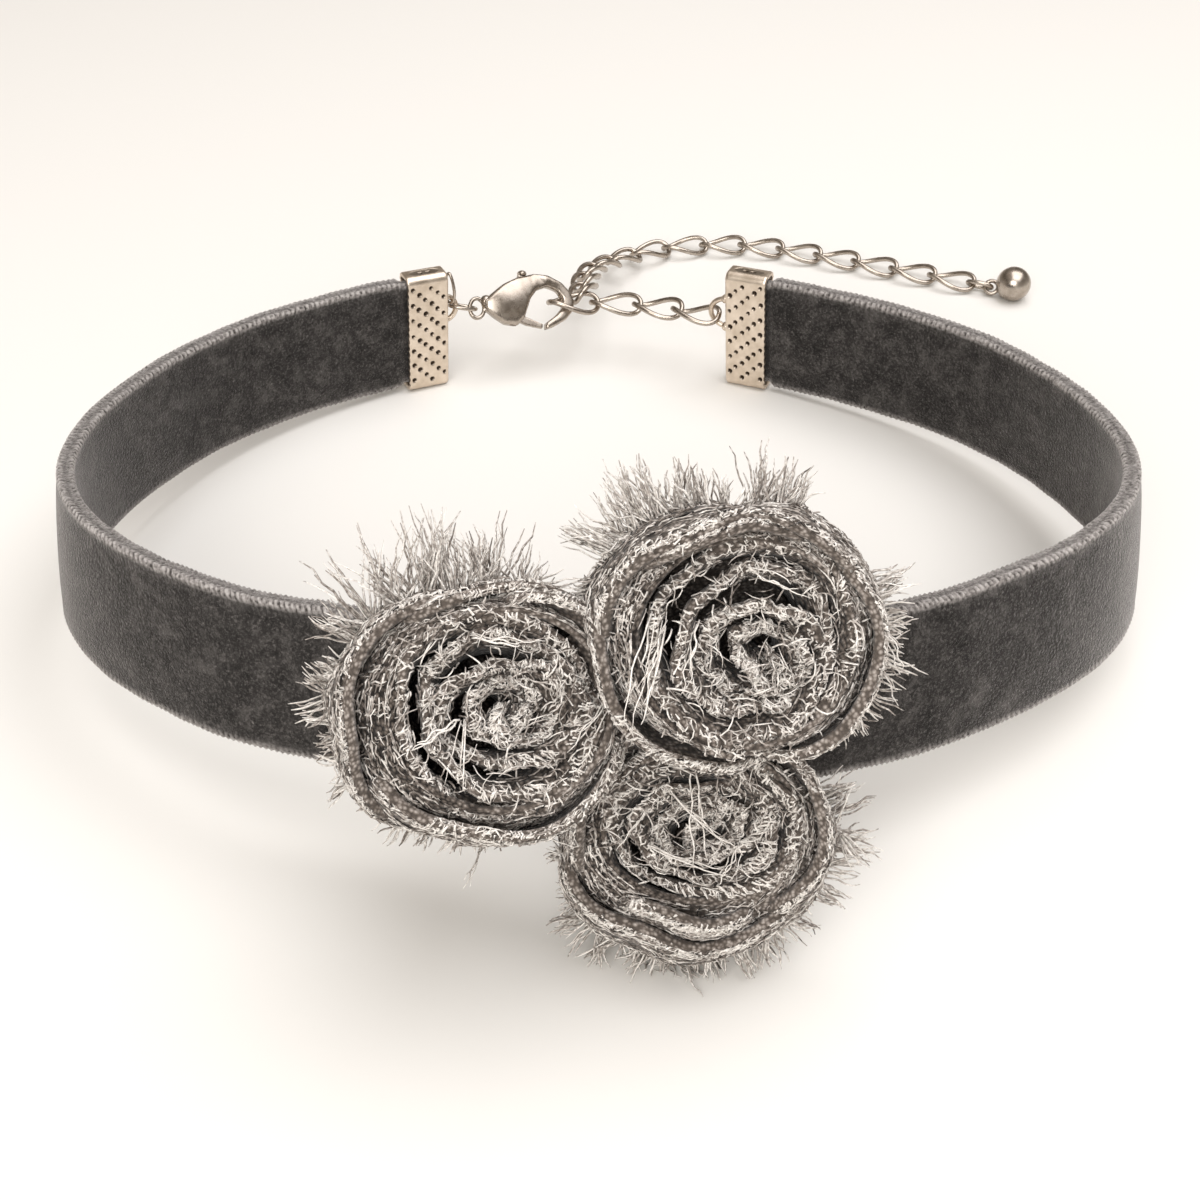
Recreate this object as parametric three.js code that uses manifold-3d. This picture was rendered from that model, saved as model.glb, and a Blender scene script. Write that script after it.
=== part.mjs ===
// Choker necklace: a velvet ribbon with three wound cloth roses, end clamps, a lobster clasp
// and an extension chain with a ball. Millimetres, +Z up, front towards -Y. It rests on z = 0.
import * as THREE from "three";
import { mergeVertices } from "three/addons/utils/BufferGeometryUtils.js";
import Module from "manifold-3d";

const wasm = await Module();
wasm.setup();

// Driving dimensions.
const RIBBON = { height: 16, thickness: 2.2, pinchedHeight: 14.9, pinchedThickness: 1.5 };
const FLARE = THREE.MathUtils.degToRad(7.1); // the lower edge stands out from the upper one
const TILT = THREE.MathUtils.degToRad(6); // the roses hold the front of the ribbon up
const LIFT = 14.37; // height of the ribbon's middle plane above the surface at x = y = 0
const ORIGIN = { x: 3.8, y: 24.43 }; // middle of the whole object in the ribbon's own frame

// Plan of the ribbon's loop: radius from the middle of the neck at each bearing from +X.
const LOOP = [
  { bearing: 0, radius: 55.2 },
  { bearing: 30, radius: 58.5 },
  { bearing: 60, radius: 58.4 },
  { bearing: 90, radius: 60.4 },
  { bearing: 120, radius: 58.5 },
  { bearing: 150, radius: 56.7 },
  { bearing: 180, radius: 53.0 },
  { bearing: 210, radius: 40.8 },
  { bearing: 240, radius: 31.2 },
  { bearing: 270, radius: 32.1 },
  { bearing: 300, radius: 33.2 },
  { bearing: 330, radius: 41.7 },
];
const CLAMP = { length: 5.7, height: 16.7, thickness: 3.3, wall: 0.6, corner: 0.7 };
const CLAMP_LEFT = { bearing: 111.5, side: -1, loopUp: 2.5, loopHalf: 1.75, reach: 1.6 };
const CLAMP_RIGHT = { bearing: 69.5, side: 1, loopUp: 1.7, loopHalf: 2.1, reach: 2.6 };
const LOOP_WIRE = 0.35; // wire radius of the clamps' own loops
const LINK = { length: 7.8, width: 4.8, wire: 0.38, twist: THREE.MathUtils.degToRad(38), gap: 0.34 };
const PITCH = LINK.length - 4 * LINK.wire - LINK.gap;
const CLASP = { thickness: 2.6, hook: 1.8, bevel: 0.35, slot: 1.3, lever: 0.8, pin: 0.4, pinHole: 0.6 };
const BALL = { radius: 2.5 };
const CLOTH = 1.25; // folded cloth of the roses
const SEAT_GAP = 0.3; // between a rose's back and the ribbon

// Materials.
const material = (name, color, roughness, metalness) =>
  new THREE.MeshStandardMaterial({ name, color, roughness, metalness });
const VELVET = material("velvet", 0x55535a, 0.95, 0);
const ROSE_CLOTH = material("frayed cloth", 0xa39a94, 0.95, 0);
const NICKEL = material("nickel plated brass", 0xb7aea4, 0.28, 1);

// Closed surface through rings of points: looped end to end, or closed by a flat cap at each end.
function skin(rings, looped) {
  const around = rings[0].length;
  const index = [];
  const last = looped ? rings.length : rings.length - 1;
  for (let i = 0; i < last; i++) {
    const next = (i + 1) % rings.length;
    for (let j = 0; j < around; j++) {
      const a = i * around + j;
      const b = i * around + ((j + 1) % around);
      const c = next * around + j;
      const d = next * around + ((j + 1) % around);
      index.push(a, b, d, a, d, c);
    }
  }
  for (let j = 1; !looped && j < around - 1; j++) {
    const end = (rings.length - 1) * around;
    index.push(0, j + 1, j, end, end + j, end + j + 1);
  }
  const points = rings.flat();
  const volume = signedVolume(points, index);
  if (volume < 0) index.reverse();
  const geometry = new THREE.BufferGeometry().setFromPoints(points);
  geometry.setIndex(index);
  return geometry;
}

function signedVolume(points, index) {
  let sum = 0;
  for (let i = 0; i < index.length; i += 3)
    sum += points[index[i]].dot(points[index[i + 1]].clone().cross(points[index[i + 2]]));
  return sum;
}

// Round wire along a closed or open line of points that turns about the given middle.
function wire(line, radius, sides, looped, middle = new THREE.Vector3()) {
  const rings = line.map((point, i) => {
    const before = line[looped ? (i + line.length - 1) % line.length : Math.max(i - 1, 0)];
    const after = line[looped ? (i + 1) % line.length : Math.min(i + 1, line.length - 1)];
    const along = after.clone().sub(before).normalize();
    const out = point.clone().sub(middle);
    out.addScaledVector(along, -out.dot(along)).normalize();
    const across = along.clone().cross(out);
    return circle(sides, (c, s) =>
      point.clone().addScaledVector(out, radius * c).addScaledVector(across, radius * s));
  });
  return skin(rings, looped);
}

function circle(count, place) {
  return Array.from({ length: count }, (_, i) => {
    const turn = (2 * Math.PI * (i + 0.5)) / count;
    return place(Math.cos(turn), Math.sin(turn), turn);
  });
}

// Value of a periodic table at a bearing in degrees, by a cubic through its even rows.
function around(rows, column, bearing) {
  const step = 360 / rows.length;
  const t = (((bearing % 360) + 360) % 360) / step;
  const i = Math.floor(t);
  const f = t - i;
  const [a, b, c, d] = [-1, 0, 1, 2].map((k) => rows[(i + k + rows.length) % rows.length][column]);
  return b + 0.5 * f * (c - a + f * (2 * a - 5 * b + 4 * c - d + f * (3 * (b - c) + d - a)));
}

// A closed geometry as a solid for a cut or a join, and back.
function toSolid(geometry) {
  const bare = geometry.clone();
  bare.deleteAttribute("normal");
  bare.deleteAttribute("uv");
  const merged = mergeVertices(bare, 1e-4);
  return new wasm.Manifold(new wasm.Mesh({
    numProp: 3,
    vertProperties: merged.attributes.position.array,
    triVerts: new Uint32Array(merged.index.array),
  }));
}

function toGeometry(solid) {
  const mesh = solid.getMesh();
  const geometry = new THREE.BufferGeometry();
  geometry.setAttribute("position", new THREE.BufferAttribute(mesh.vertProperties, 3));
  geometry.setIndex(new THREE.BufferAttribute(mesh.triVerts, 1));
  return geometry;
}

const model = new THREE.Group();
model.name = "choker_necklace";
const placed = new THREE.Group(); // the ribbon's own frame, moved so the origin is under the middle
placed.position.set(-ORIGIN.x, -ORIGIN.y, 0);
model.add(placed);

function piece(name, geometry, finish, matrix = new THREE.Matrix4()) {
  const mesh = new THREE.Mesh(geometry, finish);
  mesh.name = name;
  mesh.applyMatrix4(matrix);
  placed.add(mesh);
  return mesh;
}

// The ribbon's frame at a bearing: x along the loop, y into it, z up its flared and tilted face.
const tilted = new THREE.Matrix4().makeRotationX(-TILT).setPosition(0, 0, LIFT);

function loopPoint(bearing) {
  const turn = THREE.MathUtils.degToRad(bearing);
  const radius = around(LOOP, "radius", bearing);
  return new THREE.Vector3(radius * Math.cos(turn), radius * Math.sin(turn), 0);
}

function ribbonFrame(bearing) {
  const along = loopPoint(bearing + 0.5).sub(loopPoint(bearing - 0.5)).normalize();
  const out = new THREE.Vector3(along.y, -along.x, 0);
  const up = new THREE.Vector3(0, 0, 1).addScaledVector(out, -Math.tan(FLARE)).normalize();
  const face = up.clone().cross(along);
  const middle = loopPoint(bearing).addScaledVector(out, (RIBBON.height / 2) * Math.tan(FLARE));
  return new THREE.Matrix4().makeBasis(along, face, up).setPosition(middle).premultiply(tilted);
}

// Velvet ribbon: a rounded section swept round the loop, pinched where the clamps hold it.
function velvetBand() {
  const CORNER_STEPS = 3;
  const from = CLAMP_LEFT.bearing + 0.9;
  const to = 360 + CLAMP_RIGHT.bearing - 0.9;
  const PINCHED = 2.1; // degrees of the loop that lie inside a clamp
  const FULL = 2.9;
  const steps = 80;
  const bearings = [from, from + PINCHED];
  for (let i = 0; i <= steps; i++)
    bearings.push(THREE.MathUtils.lerp(from + FULL, to - FULL, i / steps));
  bearings.push(to - PINCHED, to);
  const rings = [];
  for (const bearing of bearings) {
    const inside = Math.min(bearing - from, to - bearing) < FULL - 0.01;
    const height = inside ? RIBBON.pinchedHeight : RIBBON.height;
    const thickness = inside ? RIBBON.pinchedThickness : RIBBON.thickness;
    const corner = thickness * 0.42;
    const frame = ribbonFrame(bearing);
    const ring = [];
    for (let quarter = 0; quarter < 4; quarter++) {
      const signY = quarter === 0 || quarter === 3 ? 1 : -1;
      const signZ = quarter < 2 ? 1 : -1;
      for (let k = 0; k < CORNER_STEPS; k++) {
        const turn = ((quarter + k / (CORNER_STEPS - 1)) * Math.PI) / 2;
        ring.push(new THREE.Vector3(
          0,
          signY * (thickness / 2 - corner) + corner * Math.cos(turn),
          signZ * (height / 2 - corner) + corner * Math.sin(turn),
        ).applyMatrix4(frame));
      }
    }
    rings.push(ring);
  }
  piece("velvet_band", skin(rings, false), VELVET);
}

// End clamp: a folded metal box that takes the ribbon's end, with its wire loop soldered on.
function roundedBlock(length, thickness, height, corner) {
  const y = thickness / 2 - corner;
  const z = height / 2 - corner;
  const shape = new THREE.Shape();
  shape.absarc(y, z, corner, 0, Math.PI / 2);
  shape.absarc(-y, z, corner, Math.PI / 2, Math.PI);
  shape.absarc(-y, -z, corner, Math.PI, 1.5 * Math.PI);
  shape.absarc(y, -z, corner, 1.5 * Math.PI, 2 * Math.PI);
  const block = new THREE.ExtrudeGeometry(shape, { depth: length, bevelEnabled: false, curveSegments: 3 });
  // The extrusion runs along z: turn it so that the shape's x, y become the block's y, z.
  const turn = new THREE.Matrix4().makeBasis(
    new THREE.Vector3(0, 1, 0), new THREE.Vector3(0, 0, 1), new THREE.Vector3(1, 0, 0));
  return block.applyMatrix4(turn).translate(-length / 2, 0, 0);
}

function clamp(name, at) {
  const shell = toSolid(roundedBlock(CLAMP.length, CLAMP.thickness, CLAMP.height, CLAMP.corner));
  const room = roundedBlock(CLAMP.length, CLAMP.thickness - 2 * CLAMP.wall,
    CLAMP.height - 2 * CLAMP.wall, CLAMP.corner / 2);
  const pocket = toSolid(room.translate(-at.side * CLAMP.wall * 1.4, 0, 0));
  const line = [];
  for (let turn = -110; turn <= 110; turn += 22) {
    const t = THREE.MathUtils.degToRad(turn);
    line.push(new THREE.Vector3(
      at.side * (CLAMP.length / 2 + at.reach * Math.cos(t)), 0, at.loopUp + at.loopHalf * Math.sin(t)));
  }
  const middle = new THREE.Vector3(at.side * CLAMP.length / 2, 0, at.loopUp);
  const loop = toSolid(wire(line, LOOP_WIRE, 6, false, middle));
  const solid = shell.subtract(pocket).add(loop.subtract(pocket));
  piece(name, toGeometry(solid), NICKEL, ribbonFrame(at.bearing));
}

// Where a clamp's loop holds what hangs on it: the middle of the loop's far bar.
function loopBar(at) {
  const local = new THREE.Vector3(at.side * (CLAMP.length / 2 + at.reach), 0, at.loopUp);
  return local.applyMatrix4(ribbonFrame(at.bearing));
}

// Twisted curb link along local x, its width along local y.
function linkGeometry(length, width, radius, twist) {
  const half = (length - 2 * radius) / 2;
  const side = (width - 2 * radius) / 2;
  const line = circle(16, (c, s) => {
    const x = half * c;
    const y = side * Math.sign(s) * Math.pow(Math.abs(s), 0.8);
    const turn = (twist * x) / half;
    return new THREE.Vector3(x, y * Math.cos(turn), y * Math.sin(turn));
  });
  return wire(line, radius, 6, true);
}

// Frame of a link: x along the chain, y leaning up from the level by the lean angle.
function linkFrame(at, along, lean) {
  const x = along.clone().normalize();
  const level = new THREE.Vector3(0, 0, 1).cross(x).normalize();
  const up = x.clone().cross(level);
  const y = level.clone().multiplyScalar(Math.cos(lean)).addScaledVector(up, Math.sin(lean));
  const z = x.clone().cross(y);
  return new THREE.Matrix4().makeBasis(x, y, z).setPosition(at);
}

// A run of links at an even pitch along a route whose rows give place and lean in degrees.
function chain(names, route, pitch) {
  const curve = new THREE.CatmullRomCurve3(route.map((r) => new THREE.Vector3(r.x, r.y, r.z)));
  const length = curve.getLength();
  names.forEach((name, i) => {
    const t = (i * pitch) / length;
    const along = curve.getTangentAt(t);
    const u = curve.getUtoTmapping(t) * (route.length - 1);
    const k = Math.min(Math.floor(u), route.length - 2);
    const lean = THREE.MathUtils.lerp(route[k].lean, route[k + 1].lean, u - k);
    piece(name, linkGeometry(LINK.length, LINK.width, LINK.wire, LINK.twist), NICKEL,
      linkFrame(curve.getPointAt(t), along, THREE.MathUtils.degToRad(lean)));
  });
  return curve;
}

// Route of the links between hook and right clamp, through the links' middles.
const FRONT_ROUTE = [
  { x: -2.4, y: 62.8, z: 8.6, lean: 2 },
  { x: 3.3, y: 63.7, z: 8.0, lean: 3 },
  { x: 9.1, y: 62.3, z: 8.2, lean: 2 },
  { x: 14.5, y: 59.0, z: 9.0, lean: -4 },
];
// Route of the free end, from the first link's back to the surface and round to the ball.
const TAIL_ROUTE = [
  { x: -1.2, y: 67.0, z: 8.3, lean: -25 },
  { x: -0.1, y: 78.3, z: 5.6, lean: -16 },
  { x: 2.6, y: 85.2, z: 3.6, lean: -10 },
  { x: 6.2, y: 90.4, z: 2.2, lean: -5 },
  { x: 10.4, y: 93.9, z: 1.5, lean: -2 },
  { x: 16.0, y: 95.5, z: 1.3, lean: 0 },
  { x: 23.0, y: 95.6, z: 1.3, lean: 0 },
  { x: 29.2, y: 94.2, z: 1.3, lean: 0 },
  { x: 35.0, y: 92.1, z: 1.3, lean: 0 },
  { x: 40.8, y: 89.8, z: 1.3, lean: 0 },
  { x: 46.5, y: 87.3, z: 1.3, lean: 0 },
  { x: 52.2, y: 84.9, z: 1.3, lean: 0 },
  { x: 57.8, y: 82.3, z: 1.3, lean: 0 },
  { x: 60.9, y: 80.8, z: 1.3, lean: 0 },
];

// Lobster clasp in its own plane: s along from the eye to the hook, t up, both from the eye's middle.
const CLASP_OUTLINE = [
  { s: 1.1, t: 0.9 }, { s: 2.0, t: 1.9 }, { s: 3.6, t: 3.3 }, { s: 5.5, t: 4.3 }, { s: 8.0, t: 5.0 },
  { s: 10.0, t: 4.9 }, { s: 11.9, t: 4.05 }, { s: 13.2, t: 2.8 }, { s: 13.8, t: 1.5 }, { s: 13.5, t: 0.2 },
  { s: 12.5, t: -1.0 }, { s: 11.0, t: -1.95 }, { s: 9.75, t: -2.45 }, { s: 9.7, t: -1.6 }, { s: 11.2, t: -0.4 },
  { s: 12.1, t: 0.7 }, { s: 12.1, t: 1.9 }, { s: 11.2, t: 2.9 }, { s: 9.85, t: 3.35 }, { s: 8.4, t: 2.8 },
  { s: 7.5, t: 1.6 }, { s: 7.0, t: 0.0 }, { s: 6.7, t: -1.0 }, { s: 5.8, t: -2.1 }, { s: 4.1, t: -2.0 },
  { s: 2.7, t: -1.2 }, { s: 1.5, t: -0.3 },
];
const LEVER_OUTLINE = [
  { s: 9.35, t: -1.7 }, { s: 9.3, t: -2.3 }, { s: 7.0, t: -1.95 }, { s: 4.6, t: -0.95 }, { s: 3.6, t: -0.3 },
  { s: 3.6, t: 0.6 }, { s: 4.5, t: 1.6 }, { s: 5.5, t: 3.4 }, { s: 5.9, t: 4.9 }, { s: 6.2, t: 5.2 },
  { s: 6.8, t: 5.2 }, { s: 6.8, t: 4.8 }, { s: 6.2, t: 3.0 }, { s: 5.6, t: 1.4 }, { s: 5.5, t: 0.4 },
  { s: 6.9, t: -0.8 },
];
const SLOT_OUTLINE = [
  { s: 3.0, t: 6.2 }, { s: 7.9, t: 6.2 }, { s: 6.9, t: 2.6 }, { s: 8.3, t: 1.4 }, { s: 8.3, t: -3.0 },
  { s: 6.0, t: -2.6 }, { s: 3.9, t: -1.5 }, { s: 3.0, t: -0.6 }, { s: 3.0, t: 1.2 }, { s: 3.3, t: 3.0 },
];
const PIVOT = { s: 4.5, t: 0.1 };
const EYE = { s: 0.25, wide: 1.0, high: 1.35, wire: 0.35 };
const CLASP_PLACE = { x: -15.5, y: 58.6, z: 10.0, yaw: 18, pitch: 38 };

function claspFrame() {
  const yaw = THREE.MathUtils.degToRad(CLASP_PLACE.yaw);
  const pitch = THREE.MathUtils.degToRad(CLASP_PLACE.pitch);
  const away = new THREE.Vector3(0, Math.cos(pitch), -Math.sin(pitch));
  const x = new THREE.Vector3(Math.cos(yaw), 0, 0).addScaledVector(away, Math.sin(yaw));
  const y = new THREE.Vector3(0, Math.sin(pitch), Math.cos(pitch));
  return new THREE.Matrix4().makeBasis(x, y, x.clone().cross(y))
    .setPosition(CLASP_PLACE.x, CLASP_PLACE.y, CLASP_PLACE.z);
}

function plate(outline, thickness, bevel, hole) {
  const shape = new THREE.Shape(outline.map((p) => new THREE.Vector2(p.s, p.t)));
  if (hole)
    shape.holes.push(new THREE.Path(circle(10, (c, s) =>
      new THREE.Vector2(PIVOT.s + hole * c, PIVOT.t + hole * s))));
  return new THREE.ExtrudeGeometry(shape, {
    depth: thickness - 2 * bevel,
    bevelEnabled: bevel > 0,
    bevelThickness: bevel,
    bevelSize: bevel,
    bevelOffset: -bevel,
    bevelSegments: 2,
    curveSegments: 5,
  }).translate(0, 0, bevel - thickness / 2);
}

function clasp() {
  const body = toSolid(plate(CLASP_OUTLINE, CLASP.thickness, CLASP.bevel));
  const slot = toSolid(plate(SLOT_OUTLINE, CLASP.slot, 0));
  const pin = new THREE.CylinderGeometry(CLASP.pin, CLASP.pin, CLASP.thickness - 0.4, 10);
  pin.rotateX(Math.PI / 2).translate(PIVOT.s, PIVOT.t, 0);
  const eyeLine = circle(14, (c, s) => new THREE.Vector3(EYE.s + EYE.wide * c, EYE.high * s, 0));
  const eye = wire(eyeLine, EYE.wire, 6, true, new THREE.Vector3(EYE.s, 0, 0));
  const solid = body.subtract(slot).add(toSolid(pin)).add(toSolid(eye));
  const geometry = toGeometry(solid);
  thinTowardsHook(geometry);
  piece("clasp_body", geometry, NICKEL, claspFrame());
  piece("clasp_lever", plate(LEVER_OUTLINE, CLASP.lever, 0, CLASP.pinHole), NICKEL, claspFrame());
}

// The hook is thinner than the body that holds the lever.
function thinTowardsHook(geometry) {
  const HOOK_FROM = 8.4;
  const HOOK_TO = 10.5;
  const position = geometry.attributes.position;
  for (let i = 0; i < position.count; i++) {
    const share = THREE.MathUtils.smoothstep(position.getX(i), HOOK_FROM, HOOK_TO);
    position.setZ(i, position.getZ(i) * THREE.MathUtils.lerp(1, CLASP.hook / CLASP.thickness, share));
  }
}

// Rings between the left clamp's loop and the clasp's eye.
function jumpRing() {
  const WIRE = 0.25;
  const from = loopBar(CLAMP_LEFT);
  const to = new THREE.Vector3(EYE.s - EYE.wide, 0, 0).applyMatrix4(claspFrame());
  const bars = new THREE.Vector3(0, Math.sin(0.3), Math.cos(0.3));
  const along = to.clone().sub(from);
  const radius = (along.length() + LOOP_WIRE + EYE.wire + 0.5) / 2 + WIRE;
  const middle = from.clone().add(to).multiplyScalar(0.5).addScaledVector(along.normalize(), 0.0);
  const side = bars.clone().cross(along).normalize();
  const line = circle(14, (c, s) =>
    middle.clone().addScaledVector(along, radius * c).addScaledVector(side, radius * 0.85 * s));
  piece("jump_ring", wire(line, WIRE, 6, true, middle), NICKEL);
}

function teardropRing() {
  const SIZE = { low: 0.75, height: 4.3, half: 1.0, wire: 0.2, turn: -Math.PI / 2.6 };
  const x = CLAMP_LEFT.side * (CLAMP.length / 2 + CLAMP_LEFT.reach * 0.42);
  const line = circle(16, (c, s) => {
    const up = (SIZE.height * (1 - c)) / 2;
    const out = SIZE.half * s * (1 + 0.35 * c);
    return new THREE.Vector3(x + out * Math.cos(SIZE.turn), out * Math.sin(SIZE.turn),
      CLAMP_LEFT.loopUp + SIZE.low + up);
  });
  const middle = new THREE.Vector3(x, 0, CLAMP_LEFT.loopUp + SIZE.low + SIZE.height * 0.4);
  piece("teardrop_ring", wire(line, SIZE.wire, 6, true, middle), NICKEL, ribbonFrame(CLAMP_LEFT.bearing));
}

velvetBand();
clasp();
jumpRing();
teardropRing();
clamp("clamp_left", CLAMP_LEFT);
clamp("clamp_right", CLAMP_RIGHT);
chain(["front_link_1", "front_link_2", "front_link_3", "front_link_4"], FRONT_ROUTE, PITCH);
const TAIL_LINKS = Array.from({ length: 14 }, (_, i) => "tail_link_" + (i + 1));
const tail = chain(TAIL_LINKS, TAIL_ROUTE, PITCH);

// End ring and ball at the free end of the chain.
function tailEnd() {
  const RING = { length: 4.4, width: 2.9, wire: 0.35 };
  const LOOP = { radius: 0.95, wire: 0.3 };
  const t = ((TAIL_LINKS.length - 1) * PITCH) / tail.getLength();
  const along = tail.getTangentAt(t).setZ(0).normalize();
  const last = tail.getPointAt(t);
  const toRing = LINK.length / 2 - 2 * LINK.wire - LINK.gap - RING.wire * 2 + RING.length / 2;
  const ring = last.clone().addScaledVector(along, toRing);
  const frame = linkFrame(ring, along, THREE.MathUtils.degToRad(-42));
  piece("end_ring", linkGeometry(RING.length, RING.width, RING.wire, 0), NICKEL, frame);
  const toLoop = RING.length / 2 - 2 * RING.wire - LINK.gap - LOOP.wire + LOOP.radius;
  const loopAt = ring.clone().addScaledVector(along, toLoop);
  const ballAt = loopAt.clone().addScaledVector(along, LOOP.radius + BALL.radius - 0.35).setZ(BALL.radius);
  const across = new THREE.Vector3().setFromMatrixColumn(frame, 2);
  const line = circle(12, (c, s) => loopAt.clone()
    .addScaledVector(along, LOOP.radius * c).addScaledVector(across, LOOP.radius * s));
  const loop = toSolid(wire(line, LOOP.wire, 6, true, loopAt));
  const sphere = new THREE.SphereGeometry(BALL.radius, 16, 11).rotateX(Math.PI / 2);
  const solid = toSolid(sphere.translate(ballAt.x, ballAt.y, ballAt.z)).add(loop);
  piece("ball", toGeometry(solid), NICKEL);
}
tailEnd();

// Roses. Each is a bowl of wound cloth: its back sits against the ribbon, it widens to a frayed
// rim and folds forward to a round mouth, in which the strip is wound into a coil.
const ROSES = [
  {
    name: "rose_left",
    seat: { bearing: 255, up: 2.2, radius: 5.0 },
    rim: { x: -9.25, y: -39.5, z: 25.6, rise: 18, heading: 6 },
    mouth: { x: -6.0, y: -45.0, z: 30.6, rise: 32, heading: 10, wide: 8.2, high: 7.6 },
    reach: [11.0, 10.6, 10.1, 11.1, 11.2, 11.4, 11.0, 10.4],
    fray: [
      { from: 62, to: 126, locks: 11, length: 5.2 },
      { from: 156, to: 196, locks: 5, length: 2.4 },
      { from: 236, to: 264, locks: 4, length: 1.6 },
    ],
  },
  {
    name: "rose_top",
    seat: { bearing: 288, up: 4.6, radius: 4.2 },
    rim: { x: 11.2, y: -38.0, z: 33.9, rise: 18, heading: 0 },
    mouth: { x: 12.0, y: -44.0, z: 36.3, rise: 30, heading: 4, wide: 8.1, high: 7.8 },
    reach: [11.3, 10.8, 9.3, 10.6, 10.8, 9.3, 8.6, 10.8],
    fray: [
      { from: 58, to: 152, locks: 14, length: 4.2 },
      { from: -42, to: 16, locks: 7, length: 2.3 },
    ],
  },
  {
    name: "rose_low",
    seat: { bearing: 284, up: -4.8, radius: 4.2 },
    rim: { x: 8.7, y: -40.5, z: 12.0, rise: 18, heading: -2 },
    mouth: { x: 9.2, y: -45.0, z: 18.3, rise: 16, heading: 0, wide: 8.0, high: 6.9 },
    reach: [12.2, 10.0, 8.9, 9.0, 10.7, 11.6, 11.7, 11.4],
    fray: [
      { from: -20, to: 16, locks: 4, length: 2.8 },
      { from: 222, to: 246, locks: 3, length: 2.0 },
      { from: 294, to: 320, locks: 4, length: 2.4, lift: 1.2 },
    ],
  },
];
const COIL = { turns: 3.2, growing: 2.85, pitch: 1.95, start: 0.9, depth: 5.0, thickness: 1.1, gap: 0.35 };

// Axes of a tipped plane: right and up in it, and forward out of it towards the viewer.
function plane(at) {
  const rise = THREE.MathUtils.degToRad(at.rise);
  const heading = THREE.MathUtils.degToRad(at.heading);
  const forward = new THREE.Vector3(
    Math.sin(heading) * Math.cos(rise), -Math.cos(heading) * Math.cos(rise), Math.sin(rise));
  const right = new THREE.Vector3(0, 0, 1).cross(forward).normalize();
  const up = forward.clone().cross(right);
  return { middle: new THREE.Vector3(at.x, at.y, at.z), right, up, forward };
}

// The ribbon's front face where a rose is sewn on.
function seatPlane(seat) {
  const frame = ribbonFrame(seat.bearing);
  const right = new THREE.Vector3();
  const into = new THREE.Vector3();
  const up = new THREE.Vector3();
  frame.extractBasis(right, into, up);
  const out = -RIBBON.thickness / 2 - SEAT_GAP;
  return { middle: new THREE.Vector3(0, out, seat.up).applyMatrix4(frame), right, up, forward: into.negate() };
}

const onPlane = (p, x, y, z = 0) =>
  p.middle.clone().addScaledVector(p.right, x).addScaledVector(p.up, y).addScaledVector(p.forward, z);

// One meridian of the bowl, from its back to rim to mouth, drawn in by the given thickness.
function meridian(rose, planes, turn, inset) {
  const c = Math.cos(turn);
  const s = Math.sin(turn);
  const bearing = THREE.MathUtils.radToDeg(turn);
  const rows = rose.reach.map((reach) => ({ reach }));
  const ruffle = 0.25 * Math.sin(7 * turn) + 0.15 * Math.sin(11 * turn + 1);
  const reach = around(rows, "reach", bearing) + ruffle - inset * 1.5;
  const base = onPlane(planes.seat, (rose.seat.radius - inset) * c, (rose.seat.radius - inset) * s);
  const rim = onPlane(planes.rim, reach * c, reach * s, inset * 0.5);
  const mouth = onPlane(planes.mouth, (rose.mouth.wide - inset) * c, (rose.mouth.high - inset) * s,
    inset ? -0.35 : 0);
  const shoulder = rim.clone().lerp(mouth, 0.35).addScaledVector(planes.rim.forward, 2.0 - inset * 0.6);
  const out = new THREE.Vector3().addScaledVector(planes.rim.right, c).addScaledVector(planes.rim.up, s);
  shoulder.addScaledVector(out, 0.9);
  const front = new THREE.QuadraticBezierCurve3(rim, shoulder, mouth).getPoints(4);
  return [base, base.clone().lerp(rim, 0.55).addScaledVector(out, -0.5), ...front];
}

function rose(row) {
  const planes = {
    seat: seatPlane(row.seat),
    rim: plane(row.rim),
    mouth: plane(row.mouth),
  };
  const bowl = circle(36, (c, s, turn) => [
    ...meridian(row, planes, turn, 0),
    ...meridian(row, planes, turn, CLOTH).reverse(),
  ]);
  let solid = toSolid(skin(bowl, true));
  for (const tuft of row.fray) solid = frayLocks(row, planes.rim, tuft, solid);
  piece(row.name + "_bowl", toGeometry(solid), ROSE_CLOTH);
  coil(row, planes.mouth, planes.rim);
}

// Tufts of frayed thread at the rim: flat pointed locks fanned between two bearings.
function frayLocks(row, rim, tuft, solid) {
  const LOCK = { root: 1.1, half: 0.95, thin: 0.35 };
  const rows = row.reach.map((reach) => ({ reach }));
  let joined = solid;
  for (let i = 0; i < tuft.locks; i++) {
    const share = tuft.locks > 1 ? i / (tuft.locks - 1) : 0.5;
    const bearing = THREE.MathUtils.lerp(tuft.from, tuft.to, share);
    const turn = THREE.MathUtils.degToRad(bearing);
    const length = tuft.length * (0.75 + 0.25 * Math.cos(5 * i));
    const reach = around(rows, "reach", bearing) - LOCK.root;
    const spread = turn + 0.22 * Math.sin(3 * i + 1);
    const at = (along, across, up) => onPlane(rim,
      reach * Math.cos(turn) + along * Math.cos(spread) - across * Math.sin(spread),
      reach * Math.sin(turn) + along * Math.sin(spread) + across * Math.cos(spread), up);
    const section = (along, size, up) => [
      at(along, LOCK.half * size, up), at(along, 0, up + LOCK.thin * size),
      at(along, -LOCK.half * size, up), at(along, 0, up - LOCK.thin * size),
    ];
    const lift = tuft.lift ?? 0;
    const end = LOCK.root + length;
    const lock = skin([section(0, 1, 0.5), section(end * 0.6, 0.8, 0.5 + lift * 0.5),
      section(end, 0.25, 0.5 + lift)], false);
    joined = joined.add(toSolid(lock));
  }
  return joined;
}

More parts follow.
